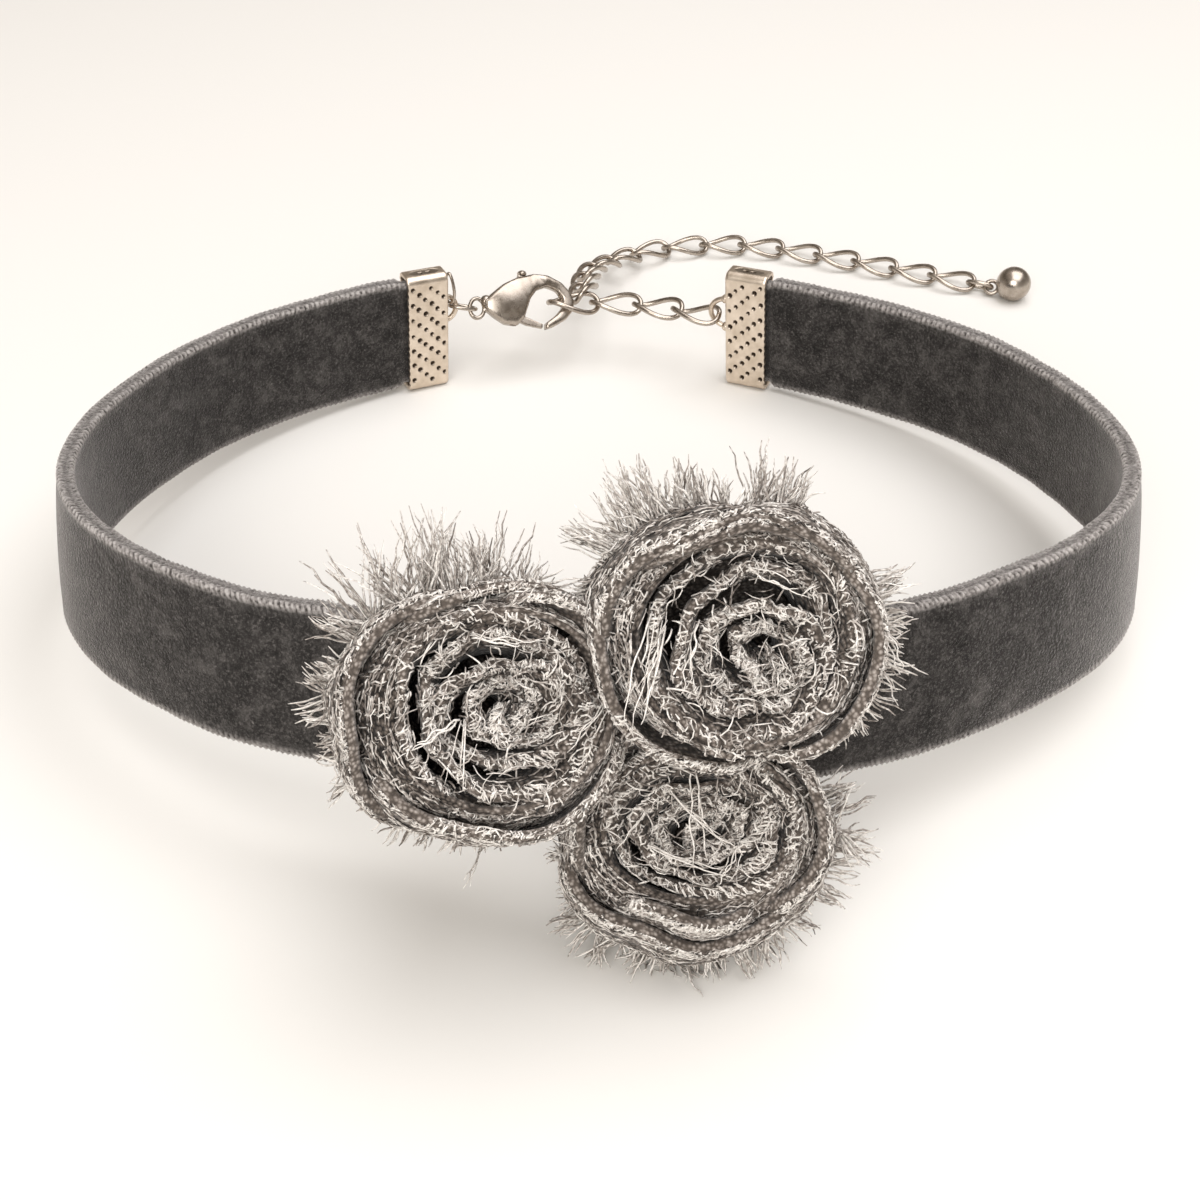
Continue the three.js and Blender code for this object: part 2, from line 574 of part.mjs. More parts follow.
// The wound strip: a folded edge in front, deeper towards the heart, closed at both ends.
function coil(row, mouth, rim) {
  const inward = rim.middle.clone().sub(mouth.middle).normalize();
  const steps = Math.round(COIL.turns * 22);
  const outer = COIL.start + COIL.growing * COIL.pitch;
  const wide = row.mouth.wide - CLOTH - COIL.gap - COIL.thickness / 2;
  const high = row.mouth.high - CLOTH - COIL.gap - COIL.thickness / 2;
  const rings = [];
  for (let i = 0; i <= steps; i++) {
    const turn = (2 * Math.PI * COIL.turns * i) / steps;
    const grown = Math.min(turn / (2 * Math.PI), COIL.growing);
    const radius = (COIL.start + COIL.pitch * grown) / outer;
    const front = -0.6 - 2.2 * (1 - i / steps) + 0.25 * Math.sin(3 * turn);
    const half = COIL.thickness / 2;
    const at = (side, z) => onPlane(mouth, (radius * wide + side) * Math.cos(turn),
      (radius * high + side) * Math.sin(turn)).addScaledVector(inward, -z);
    const back = -COIL.depth;
    rings.push([
      at(-half, back), at(half, back), at(half, front - 0.4),
      at(half * 0.5, front), at(-half * 0.5, front), at(-half, front - 0.4),
    ]);
  }
  piece(row.name + "_coil", skin(rings, false), ROSE_CLOTH);
}

ROSES.forEach(rose);

export default model;
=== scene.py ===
import math
import random

import bpy
import numpy as np
from mathutils import Matrix, Vector


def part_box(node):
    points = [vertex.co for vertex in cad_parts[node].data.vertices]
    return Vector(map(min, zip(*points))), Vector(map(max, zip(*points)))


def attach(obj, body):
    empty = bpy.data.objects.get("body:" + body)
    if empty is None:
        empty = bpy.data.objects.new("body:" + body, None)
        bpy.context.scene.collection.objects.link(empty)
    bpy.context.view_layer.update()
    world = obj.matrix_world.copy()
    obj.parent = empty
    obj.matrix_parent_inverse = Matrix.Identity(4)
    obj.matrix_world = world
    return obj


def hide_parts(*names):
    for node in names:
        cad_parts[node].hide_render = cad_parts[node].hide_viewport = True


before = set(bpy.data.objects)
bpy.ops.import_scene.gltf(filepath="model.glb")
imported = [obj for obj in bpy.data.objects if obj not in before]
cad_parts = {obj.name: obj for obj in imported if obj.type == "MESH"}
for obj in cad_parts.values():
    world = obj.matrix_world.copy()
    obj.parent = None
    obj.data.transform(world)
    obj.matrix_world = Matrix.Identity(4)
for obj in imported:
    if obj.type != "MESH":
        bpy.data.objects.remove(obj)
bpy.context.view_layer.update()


# Camera
# The photograph looks down at the front of the necklace from about 38 degrees.
camera_data = bpy.data.cameras.new("camera")
camera_data.sensor_width = 36.0
camera_data.lens = 48.868
camera_data.clip_start = 0.005
camera = bpy.data.objects.new("camera", camera_data)
camera.location = (-0.002574, -0.161832, 0.113526)
camera.rotation_euler = (math.radians(52.0), 0.0, 0.0)
bpy.context.scene.collection.objects.link(camera)
bpy.context.scene.camera = camera


# Studio
# A warm near-white table under a wide soft box, with a weaker one in front and a pale room.
# Nothing here belongs to the necklace.
def linear(hex_colour, alpha=1.0):
    """An sRGB hex colour as the linear values that Blender takes."""
    channels = [int(hex_colour[i:i + 2], 16) / 255 for i in (1, 3, 5)]
    return [c / 12.92 if c <= 0.04045 else ((c + 0.055) / 1.055) ** 2.4 for c in channels] + [alpha]


def add_node(tree, kind, settings=None, links=None):
    """A node with its own settings and constants, and its inputs linked."""
    node = tree.nodes.new(kind)
    for key, value in (settings or {}).items():
        if isinstance(key, str) and hasattr(node, key):
            setattr(node, key, value)
        else:
            node.inputs[key].default_value = value
    for key, source in (links or {}).items():
        tree.links.new(source, node.inputs[key])
    return node


def new_material(name):
    material = bpy.data.materials.new(name)
    material.use_nodes = True
    material.node_tree.nodes.clear()
    return material, material.node_tree


def output_surface(tree, shader):
    add_node(tree, "ShaderNodeOutputMaterial", links={"Surface": shader.outputs[0]})


def set_ramp(node, stops):
    """Give a colour ramp its stops: each a position, then a colour or a grey."""
    elements = node.color_ramp.elements
    while len(elements) < len(stops):
        elements.new(0.5)
    for element, (place, colour) in zip(elements, stops):
        element.position = place
        element.color = linear(colour) if isinstance(colour, str) else [colour] * 3 + [1.0]


TABLE_SIZE = 12.0
TABLE_GAP = 0.00002


def table_material():
    material, tree = new_material("matte_paper_backdrop")
    shader = add_node(tree, "ShaderNodeBsdfPrincipled",
                      {"Base Color": linear("#EBE9E5"), "Roughness": 0.9, "Specular IOR Level": 0.1})
    output_surface(tree, shader)
    return material


bpy.ops.object.select_all(action="DESELECT")
bpy.ops.mesh.primitive_plane_add(size=TABLE_SIZE, location=(0.0, 0.0, -TABLE_GAP))
table = bpy.context.object
table.name = "table_top"
table.data.materials.append(table_material())


def soft_box(name, place, target, size, watts, colour):
    data = bpy.data.lights.new(name, "AREA")
    data.shape = "RECTANGLE"
    data.size = size[0]
    data.size_y = size[1]
    data.energy = watts
    data.color = linear(colour)[:3]
    light = bpy.data.objects.new(name, data)
    light.location = place
    light.rotation_euler = (Vector(target) - Vector(place)).to_track_quat("-Z", "Y").to_euler()
    bpy.context.scene.collection.objects.link(light)


soft_box("overhead_soft_box", (0.17, -0.03, 0.64), (0, 0, 0), (0.8, 0.65), 4.4, "#FDFDFF")
soft_box("front_soft_box", (-0.16, -0.62, 0.40), (0, 0, 0.01), (0.5, 0.4), 3.5, "#FFFDFA")

# The room is pale, with a dim ring between the walls and the ceiling, which gives the metal its
# dark lines.
world = bpy.data.worlds.new("pale_room")
bpy.context.scene.world = world
world.use_nodes = True
background = world.node_tree.nodes["Background"]
background.inputs["Strength"].default_value = 0.54
room = add_node(world.node_tree, "ShaderNodeTexCoord")
height = add_node(world.node_tree, "ShaderNodeSeparateXYZ", links={0: room.outputs["Generated"]})
glow = add_node(world.node_tree, "ShaderNodeValToRGB", links={0: height.outputs["Z"]})
set_ramp(glow, [(0.0, "#E4E2DF"), (0.3, "#DACDBD"), (0.4, "#90877C"), (0.6, "#A59C92"), (0.85, "#FFF3E6")])
world.node_tree.links.new(glow.outputs[0], background.inputs["Color"])
bpy.context.scene.view_settings.view_transform = "Standard"


# Velvet ribbon
# A double ribbon of cotton-backed rayon velvet, 16 mm high, with a woven selvedge along both
# edges. It stands on its lower edge, leans in a little at the top and is lifted in front by the
# roses.
# Sizes are in mm about a middle of the loop's own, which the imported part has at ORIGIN.
MM = 0.001
ORIGIN = (3.8, 24.43)
# How far the ribbon leans in, and how far the whole loop tips up in front and is lifted.
FLARE = math.radians(7.1)
TILT = math.radians(6.0)
LIFT = 14.37
# Distance from the middle to the ribbon's upper edge, every 30 degrees round from the right.
LOOP_RADII = (55.2, 58.5, 58.4, 60.4, 58.5, 56.7, 53.0, 40.8, 31.2, 32.1, 33.2, 41.7)
RIBBON_HEIGHT = 16.0
RIBBON_THICKNESS = 2.2
# Inside the clamps the ribbon is pinched.
PINCHED_HEIGHT = 14.9
PINCHED_THICKNESS = 1.5
CLAMP_LEFT_BEARING = 111.5
CLAMP_RIGHT_BEARING = 69.5


def periodic(values, bearing):
    """A smooth value at a bearing, through values that are evenly spaced round a circle."""
    t = (bearing % 360.0) * len(values) / 360.0
    i = int(math.floor(t))
    f = t - i
    a, b, c, d = (values[(i + k) % len(values)] for k in (-1, 0, 1, 2))
    return b + 0.5 * f * (c - a + f * (2 * a - 5 * b + 4 * c - d + f * (3 * (b - c) + d - a)))


def loop_point(bearing):
    """Place of the ribbon's upper edge at a bearing, seen from above."""
    turn = math.radians(bearing)
    radius = periodic(LOOP_RADII, bearing)
    return Vector((radius * math.cos(turn), radius * math.sin(turn), 0.0))


def ribbon_frame(bearing):
    """The ribbon's own axes at a bearing: along it, through it towards the inside, and up it."""
    along = (loop_point(bearing + 0.5) - loop_point(bearing - 0.5)).normalized()
    out = Vector((along.y, -along.x, 0.0))
    up = (Vector((0, 0, 1)) - out * math.tan(FLARE)).normalized()
    face = up.cross(along)
    middle = loop_point(bearing) + out * (RIBBON_HEIGHT / 2) * math.tan(FLARE)
    basis = Matrix((along, face, up)).transposed().to_4x4()
    tilted = Matrix.Translation((0, 0, LIFT)) @ Matrix.Rotation(-TILT, 4, "X")
    shift = Matrix.Scale(MM, 4) @ Matrix.Translation((-ORIGIN[0], -ORIGIN[1], 0))
    return shift @ tilted @ Matrix.Translation(middle) @ basis


def wrapped_grid(name, columns, rows, wrap, **masks):
    """A grid laid in space by wrap(u, v), both from 0 to 1, with a mask for each function of u, v."""
    bpy.ops.object.select_all(action="DESELECT")
    bpy.ops.mesh.primitive_grid_add(x_subdivisions=columns, y_subdivisions=rows, size=2.0)
    piece = bpy.context.object
    piece.name = name
    piece.data.name = name
    spots = [((vertex.co.x + 1) / 2, (vertex.co.y + 1) / 2) for vertex in piece.data.vertices]
    for vertex, (u, v) in zip(piece.data.vertices, spots):
        vertex.co = wrap(u, v)
    for mask_name, mask in masks.items():
        layer = piece.data.attributes.new(mask_name, "FLOAT", "POINT")
        layer.data.foreach_set("value", [mask(u, v) for u, v in spots])
    return piece


def edit_all(piece):
    """Open a piece in edit mode with all of it selected."""
    bpy.ops.object.select_all(action="DESELECT")
    piece.select_set(True)
    bpy.context.view_layer.objects.active = piece
    bpy.ops.object.mode_set(mode="EDIT")
    bpy.ops.mesh.select_all(action="SELECT")


def close_seams(piece, distance=1e-6):
    """Join a wrapped grid's meeting edges and fill its open ends."""
    edit_all(piece)
    bpy.ops.mesh.remove_doubles(threshold=distance)
    bpy.ops.mesh.select_all(action="DESELECT")
    bpy.ops.mesh.select_non_manifold()
    bpy.ops.mesh.fill_holes(sides=0)
    bpy.ops.mesh.select_all(action="SELECT")
    bpy.ops.mesh.normals_make_consistent(inside=False)
    bpy.ops.object.mode_set(mode="OBJECT")
    bpy.ops.object.shade_smooth()


INSIDE_CLAMP = 0.9
PINCH_ENDS = 2.1
PINCH_FADES = 0.8
RIBBON_FROM = CLAMP_LEFT_BEARING + INSIDE_CLAMP
RIBBON_TO = 360.0 + CLAMP_RIGHT_BEARING - INSIDE_CLAMP


def ribbon_section(v):
    """Place on the ribbon's flat oval section: shares of its half thickness and half height."""
    across = math.cos(2 * math.pi * v)
    return math.copysign(abs(across) ** 0.35, across), math.sin(2 * math.pi * v)


# The stitches are drawn coarser than the real ones, so that they show.
RIBBON_RUN = 315.0
STITCH = 0.72
SELVEDGE_FROM = 0.86
SELVEDGE_FADES = 0.08
# Unevenness of hand work: the selvedge draws from it first, then the clamps' dents.
UNEVEN = random.Random(4)
# Length, phase and size of each wave in the selvedge's edge.
DRIFT_WAVES = [(UNEVEN.uniform(0.5, 2.6), UNEVEN.uniform(0, 6.28), UNEVEN.uniform(0.2, 0.5))
               for _ in range(6)]


def selvedge(u, v):
    """1 on the woven edge, whose paleness in the velvet is partly painted sheen; less along the seam between
    the two ribbons, as painted shade in its groove, and on the lower edge.
    """
    across, rise = ribbon_section(v)
    edge = min(max((abs(rise) - SELVEDGE_FROM) / SELVEDGE_FADES, 0.0), 1.0)
    # Painted shade: a dark dotted line along the groove of the seam on the upper edge.
    seam = math.exp(-(across / 0.4) ** 2) * (0.35 + 0.45 * stitch(u, v))
    return edge * (0.72 if rise < 0 else 1.0) * (1 - seam * (rise > 0))


def stitch(u, v):
    """1 on the crown of each slanting stitch, 0 between two."""
    across, rise = ribbon_section(v)
    return 0.5 + 0.5 * math.sin(2 * math.pi * (RIBBON_RUN * u / STITCH + 1.2 * across + 4 * rise))


def ribbon_wrap(u, v):
    """Place on the ribbon: u along it, v round its section."""
    bearing = RIBBON_FROM + (RIBBON_TO - RIBBON_FROM) * u
    ends = min(bearing - RIBBON_FROM, RIBBON_TO - bearing)
    share = min(max((ends - PINCH_ENDS) / PINCH_FADES, 0.0), 1.0)
    height = PINCHED_HEIGHT + (RIBBON_HEIGHT - PINCHED_HEIGHT) * share
    thickness = PINCHED_THICKNESS + (RIBBON_THICKNESS - PINCHED_THICKNESS) * share
    across, rise = ribbon_section(v)
    edge = min(max((abs(rise) - SELVEDGE_FROM) / SELVEDGE_FADES, 0.0), 1.0) * share
    cord = 0.09 * (2 * stitch(u, v) - 1) * edge
    drift = sum(a * math.sin(RIBBON_RUN * u / w + p) for w, p, a in DRIFT_WAVES) * 0.05 * edge
    bead = 0.2 * math.exp(-((abs(rise) - 0.95) / 0.045) ** 2) * share
    groove = 0.3 * math.exp(-(across / 0.45) ** 2) * edge
    y = across * (thickness / 2 + bead + cord * 0.6)
    z = rise * (height / 2 + cord + drift - groove)
    return ribbon_frame(bearing) @ Vector((0, y, z))


def velvet_material():
    # Dense short pile over a cotton ground: almost black head on, pale where it turns away,
    # mottled where fingers brushed it, with a lighter selvedge of slanting stitches, partly painted sheen.
    material, tree = new_material("crushed_rayon_velvet")
    coords = add_node(tree, "ShaderNodeTexCoord")
    place = coords.outputs["Object"]
    # Brushed patches are about 3 mm across.
    patches = add_node(tree, "ShaderNodeTexNoise",
                       {"Scale": 340.0, "Detail": 9.0, "Roughness": 0.85, "Distortion": 0.3},
                       {"Vector": place})
    patch_ramp = add_node(tree, "ShaderNodeValToRGB", links={0: patches.outputs["Fac"]})
    set_ramp(patch_ramp, [(0.36, "#1B1A19"), (0.5, "#2F2D2C"), (0.64, "#524F4D")])
    # Tufts of the pile, about 0.3 mm apart, some of which catch the light.
    pile = add_node(tree, "ShaderNodeTexNoise", {"Scale": 3200.0, "Detail": 3.0, "Roughness": 0.7},
                    {"Vector": place})
    tip_ramp = add_node(tree, "ShaderNodeValToRGB", links={0: pile.outputs["Fac"]})
    set_ramp(tip_ramp, [(0.5, 0.0), (0.66, 0.25), (0.78, 0.8)])
    tips = add_node(tree, "ShaderNodeMix", {"data_type": "RGBA", 7: linear("#86817E")},
                    {0: tip_ramp.outputs[0], 6: patch_ramp.outputs[0]})
    # The attributes are 1 on the selvedge and on the crown of each stitch. Light crowns are painted
    # highlight, and the dark between stitches is painted shade.
    edge = add_node(tree, "ShaderNodeAttribute", {"attribute_name": "selvedge"})
    crown = add_node(tree, "ShaderNodeAttribute", {"attribute_name": "stitch"})
    grain = add_node(tree, "ShaderNodeTexNoise", {"Scale": 2600.0, "Detail": 3.0}, {"Vector": place})
    twist = add_node(tree, "ShaderNodeMath", {"operation": "MULTIPLY_ADD", 1: 0.3},
                     {0: crown.outputs["Fac"], 2: grain.outputs["Fac"]})
    thread_ramp = add_node(tree, "ShaderNodeValToRGB", links={0: twist.outputs[0]})
    set_ramp(thread_ramp, [(0.42, "#45413F"), (0.62, "#8D8885"), (0.85, "#BDB8B5")])
    edged = add_node(tree, "ShaderNodeMix", {"data_type": "RGBA"},
                     {0: edge.outputs["Fac"], 6: tips.outputs[2], 7: thread_ramp.outputs[0]})
    bump = add_node(tree, "ShaderNodeBump", {"Strength": 0.8, "Distance": 0.0002},
                    {"Height": pile.outputs["Fac"]})
    shader = add_node(tree, "ShaderNodeBsdfPrincipled",
                      {"Roughness": 0.95, "Specular IOR Level": 0.1, "Sheen Weight": 0.9,
                       "Sheen Roughness": 0.3, "Sheen Tint": linear("#D9D5D2")},
                      {"Base Color": edged.outputs[2], "Normal": bump.outputs[0]})
    output_surface(tree, shader)
    return material


COLUMNS_ALONG_RIBBON = 1500
ROWS_ROUND_RIBBON = 36
ribbon = wrapped_grid("velvet_ribbon", COLUMNS_ALONG_RIBBON, ROWS_ROUND_RIBBON, ribbon_wrap,
                      selvedge=selvedge, stitch=stitch)
close_seams(ribbon)
ribbon.data.materials.append(velvet_material())
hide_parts("velvet_band")
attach(ribbon, "necklace")


# Chain links and rings
# Curb links of 0.8 mm nickel plated brass wire, twisted a little, bent shut and tumbled bright.
# Each is the solid's own ring with its wire made round.
def nickel_material():
    # Nickel over brass: warm silver, tumbled, so its gloss is broken by fine soft scratches.
    material, tree = new_material("tumbled_nickel_plate")
    coords = add_node(tree, "ShaderNodeTexCoord")
    wear = add_node(tree, "ShaderNodeTexNoise", {"Scale": 900.0, "Detail": 3.0},
                    {"Vector": coords.outputs["Object"]})
    rough = add_node(tree, "ShaderNodeMapRange", {"To Min": 0.18, "To Max": 0.36},
                     {"Value": wear.outputs["Fac"]})
    tone = add_node(tree, "ShaderNodeValToRGB", links={0: wear.outputs["Fac"]})
    set_ramp(tone, [(0.3, "#A2978C"), (0.7, "#BFB5AA")])
    bump = add_node(tree, "ShaderNodeBump", {"Strength": 0.1, "Distance": 0.00002},
                    {"Height": wear.outputs["Fac"]})
    shader = add_node(tree, "ShaderNodeBsdfPrincipled", {"Metallic": 1.0},
                      {"Base Color": tone.outputs[0], "Roughness": rough.outputs[0],
                       "Normal": bump.outputs[0]})
    output_surface(tree, shader)
    return material


NICKEL = nickel_material()


def copy_of_node(node, name):
    """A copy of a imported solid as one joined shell, ready to be shaped."""
    piece = bpy.data.objects.new(name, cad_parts[node].data.copy())
    piece.data.name = name
    piece.data.materials.clear()
    bpy.context.scene.collection.objects.link(piece)
    edit_all(piece)
    bpy.ops.mesh.remove_doubles(threshold=1e-6)
    bpy.ops.object.mode_set(mode="OBJECT")
    return piece


def apply_modifier(piece, kind, **settings):
    bpy.ops.object.select_all(action="DESELECT")
    piece.select_set(True)
    bpy.context.view_layer.objects.active = piece
    modifier = piece.modifiers.new(kind.lower(), kind)
    for key, value in settings.items():
        setattr(modifier, key, value)
    bpy.ops.object.modifier_apply(modifier=modifier.name)


def finish_piece(piece, node, material):
    """Shade a piece smooth, give it its finish and put it in the place of a solid."""
    bpy.ops.object.select_all(action="DESELECT")
    piece.select_set(True)
    bpy.context.view_layer.objects.active = piece
    bpy.ops.object.shade_smooth()
    piece.data.materials.append(material)
    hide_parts(node)


# The solids' wire has 5 or 6 sides. Rounding it thins it, so it is thickened by this first.
ROUND_WIRE_GAIN = 0.00005
LINKS = [f"front_link_{i}" for i in range(1, 5)] + [f"tail_link_{i}" for i in range(1, 15)]
for ring_node in LINKS + ["end_ring", "jump_ring", "teardrop_ring"]:
    link = copy_of_node(ring_node, "bright_" + ring_node)
    edit_all(link)
    bpy.ops.mesh.tris_convert_to_quads(face_threshold=1.2, shape_threshold=1.2)
    bpy.ops.transform.shrink_fatten(value=ROUND_WIRE_GAIN)
    bpy.ops.object.mode_set(mode="OBJECT")
    apply_modifier(link, "SUBSURF", levels=2, render_levels=2)
    finish_piece(link, ring_node, NICKEL)
    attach(link, "necklace")


# Ball
# A hollow nickel plated ball closes the free end, hung from the last ring by its own small eye.
BALL_RADIUS = 0.0025
BALL_EYE_RADIUS = 0.00095
BALL_EYE_WIRE = 0.0003
BALL_EYE_SUNK = 0.00035
BALL_EYE_HEIGHT = 0.0013
BALL_EYE_LEAN = math.radians(-42.0)
ball_low, ball_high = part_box("ball")
ring_low, ring_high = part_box("end_ring")
ball_centre = Vector((ball_high[0] - BALL_RADIUS, ball_low[1] + BALL_RADIUS, BALL_RADIUS))
towards_chain = (Vector(ring_low) + Vector(ring_high)) / 2 - ball_centre
towards_chain.z = 0.0
towards_chain.normalize()
bpy.ops.object.select_all(action="DESELECT")
bpy.ops.mesh.primitive_uv_sphere_add(segments=48, ring_count=32, radius=BALL_RADIUS, location=ball_centre)
ball = bpy.context.object
ball.name = "bright_ball"
bpy.ops.object.transform_apply(location=True, rotation=True, scale=True)


def join_into(piece, *others):
    """Join others into a piece, which is then selected."""
    bpy.ops.object.select_all(action="DESELECT")
    for other in others:
        other.select_set(True)
    piece.select_set(True)
    bpy.context.view_layer.objects.active = piece
    bpy.ops.object.join()
    return piece


def round_ring(name, across, along, wire, place):
    """An oval ring of round wire in the plane of place's x and y axes, as a mesh."""
    bpy.ops.object.select_all(action="DESELECT")
    bpy.ops.curve.primitive_bezier_circle_add(radius=1.0)
    ring = bpy.context.object
    ring.name = name
    bpy.ops.object.mode_set(mode="EDIT")
    bpy.ops.curve.select_all(action="SELECT")
    bpy.ops.transform.resize(value=(across, along, 1.0))
    bpy.ops.object.mode_set(mode="OBJECT")
    ring.data.bevel_depth = wire
    ring.data.bevel_resolution = 3
    ring.data.resolution_u = 10
    bpy.ops.object.convert(target="MESH")
    ring = bpy.context.object
    ring.data.transform(place)
    return ring


eye_x = towards_chain
eye_level = Vector((0, 0, 1)).cross(eye_x).normalized()
eye_up = eye_x.cross(eye_level)
eye_y = eye_level * math.cos(BALL_EYE_LEAN) - eye_up * math.sin(BALL_EYE_LEAN)
eye_z = eye_x.cross(eye_y)
eye_centre = ball_centre + towards_chain * (BALL_EYE_RADIUS + BALL_RADIUS - BALL_EYE_SUNK)
eye_centre.z = BALL_EYE_HEIGHT
eye_place = Matrix.Translation(eye_centre) @ Matrix((eye_x, eye_z, eye_y)).transposed().to_4x4()
join_into(ball, round_ring("ball_eye", BALL_EYE_RADIUS, BALL_EYE_RADIUS, BALL_EYE_WIRE, eye_place))
finish_piece(ball, "ball", NICKEL)
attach(ball, "necklace")


# Lobster clasp
# Die cast zinc, nickel plated: a domed body with a hook and a small cast eye, and a sprung
# lever on a pin, whose thumb knob stands over the back.
# Its yaw and pitch as it hangs, and where its eye is.
CLASP_YAW = math.radians(18.0)
CLASP_PITCH = math.radians(38.0)
CLASP_EYE = (-15.5, 58.6, 10.0)


def clasp_frame():
    """The clasp's own axes: along it from its eye to its hook, across it and through it."""
    away = Vector((0, math.cos(CLASP_PITCH), -math.sin(CLASP_PITCH)))
    x = Vector((math.cos(CLASP_YAW), 0, 0)) + away * math.sin(CLASP_YAW)
    y = Vector((0, math.sin(CLASP_PITCH), math.cos(CLASP_PITCH)))
    basis = Matrix((x, y, x.cross(y))).transposed().to_4x4()
    shift = Matrix.Scale(MM, 4) @ Matrix.Translation((-ORIGIN[0], -ORIGIN[1], 0))
    return shift @ Matrix.Translation(CLASP_EYE) @ basis


CLASP = clasp_frame()


def cast_smooth(piece, grain, passes):
    """Turn a faceted casting into an even skin of small faces, softened as by tumbling."""
    apply_modifier(piece, "REMESH", mode="VOXEL", voxel_size=grain)
    apply_modifier(piece, "SMOOTH", factor=0.5, iterations=passes)


def bead(radius, place, squash=(1.0, 1.0, 1.0)):
    bpy.ops.object.select_all(action="DESELECT")
    bpy.ops.mesh.primitive_uv_sphere_add(segments=24, ring_count=16, radius=radius)
    made = bpy.context.object
    made.data.transform(place @ Matrix.Diagonal((*squash, 1.0)))
    return made


clasp = copy_of_node("clasp_body", "cast_clasp")
cast_smooth(clasp, 0.00014, 12)
# The body is domed: full in the middle, thin towards its outline.
EYE_ENDS = 1.4
DOME_MIDDLE = (5.3, 1.6)
DOME_REACH = (4.4, 3.5)
HOOK_FROM = 9.6
HOOK_THICKNESS = 0.9
to_clasp = CLASP.inverted()
for vertex in clasp.data.vertices:
    local = to_clasp @ vertex.co
    if local.x < EYE_ENDS:
        continue
    off = math.hypot((local.x - DOME_MIDDLE[0]) / DOME_REACH[0], (local.y - DOME_MIDDLE[1]) / DOME_REACH[1])
    dome = 1.16 - 0.5 * min(off, 1.1) ** 2
    share = min(max((HOOK_FROM - local.x) / 2.0, 0.0), 1.0)
    local.z *= dome * share + (1 - share) * HOOK_THICKNESS
    vertex.co = CLASP @ local
# A cast bead joins the eye to the body.
join_into(clasp, bead(0.85, CLASP @ Matrix.Translation((1.55, 1.0, 0.0)), (1.0, 1.0, 0.9)))
finish_piece(clasp, "clasp_body", NICKEL)
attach(clasp, "necklace")

lever = copy_of_node("clasp_lever", "sprung_lever")
cast_smooth(lever, 0.0001, 4)
join_into(lever, bead(0.55, CLASP @ Matrix.Translation((6.45, 5.0, 0.0)), (1.15, 0.8, 1.5)))
finish_piece(lever, "clasp_lever", NICKEL)
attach(lever, "lever")


# Ribbon clamps
# Folded sheet brass, nickel plated and stamped with slanting rows of small dents, pressed over
# the ribbon's ends. Each has a wire loop at its closed side.
CLAMP_LENGTH = 5.7
CLAMP_HEIGHT = 16.7
CLAMP_THICKNESS = 3.3
CLAMP_WALL = 0.6
CLAMP_CORNER = 1.0
# Dents stand in columns, each column shifted along from the one before, so that the rows slant.
DENT_COLUMN = 0.86
DENT_PITCH = 2.25
DENT_SHIFT = -0.79
DENT_RADIUS = 0.33
DENT_DEPTH = 0.24
LOOP_WIRE = 0.35
LOOP_END_OUT = 0.45
# side is the closed side. The loop has a height up the clamp, half its own height, a reach, and
# solder beads at its ends.
CLAMPS = {
    "clamp_left": {"bearing": CLAMP_LEFT_BEARING, "side": -1,
                   "up": 2.5, "half": 1.75, "reach": 1.6, "ends": 0.0},
    "clamp_right": {"bearing": CLAMP_RIGHT_BEARING, "side": 1,
                    "up": 1.7, "half": 2.1, "reach": 2.6, "ends": 0.62},
}
# How the sheet runs from the closed side over the outside, round the open edge and back inside:
# distance along the clamp from the closed side, and how far in from the outside.
SHEET = [(0.0, 1.6), (0.0, 0.5), (0.05, 0.2), (0.2, 0.04), (0.4, 0.0), (5.4, 0.0), (5.6, 0.06), (5.7, 0.3),
         (5.62, 0.52), (5.4, 0.6), (0.8, 0.6), (0.8, 1.6)]
# How many rows of the mesh each stretch of the sheet gets.
SHEET_ROWS = (1, 1, 1, 1, 52, 3, 3, 3, 2, 2, 1)
OUTSIDE = 4
OPEN_EDGE = (5, 6, 7, 8)
ROUND_CLAMP = 400
# Teeth along the open edge, which grip the ribbon, and two dents in the top.
TOOTH_PITCH = 0.95
TOOTH_DEPTH = 0.16
TOP_DENTS = (-0.55, 0.5)


def rounded_rectangle(share, inset):
    """Point at a share of the way round the clamp's section, drawn in by an inset: y, z and the
    face: 0 towards the neck, 1 top, 2 away from the neck, 3 bottom, -1 a corner."""
    half_y = CLAMP_THICKNESS / 2 - CLAMP_CORNER
    half_z = CLAMP_HEIGHT / 2 - CLAMP_CORNER
    arc = CLAMP_CORNER * math.pi / 2
    walk = share * (4 * half_y + 4 * half_z + 4 * arc)
    for corner_turn, flat, (y0, z0), (y1, z1) in (
            (0, 2 * half_z, (1, -1), (1, 1)), (1, 2 * half_y, (1, 1), (-1, 1)),
            (2, 2 * half_z, (-1, 1), (-1, -1)), (3, 2 * half_y, (-1, -1), (1, -1))):
        radius = CLAMP_CORNER - inset
        turn = corner_turn * math.pi / 2
        out = (math.cos(turn), math.sin(turn))
        if walk <= flat:
            f = walk / flat
            y = (y0 + (y1 - y0) * f) * half_y + out[0] * radius
            z = (z0 + (z1 - z0) * f) * half_z + out[1] * radius
            return y, z, corner_turn
        walk -= flat
        if walk <= arc:
            angle = turn + walk / CLAMP_CORNER
            return (y1 * half_y + radius * math.cos(angle), z1 * half_z + radius * math.sin(angle), -1)
        walk -= arc
    return rounded_rectangle(0.0, inset)


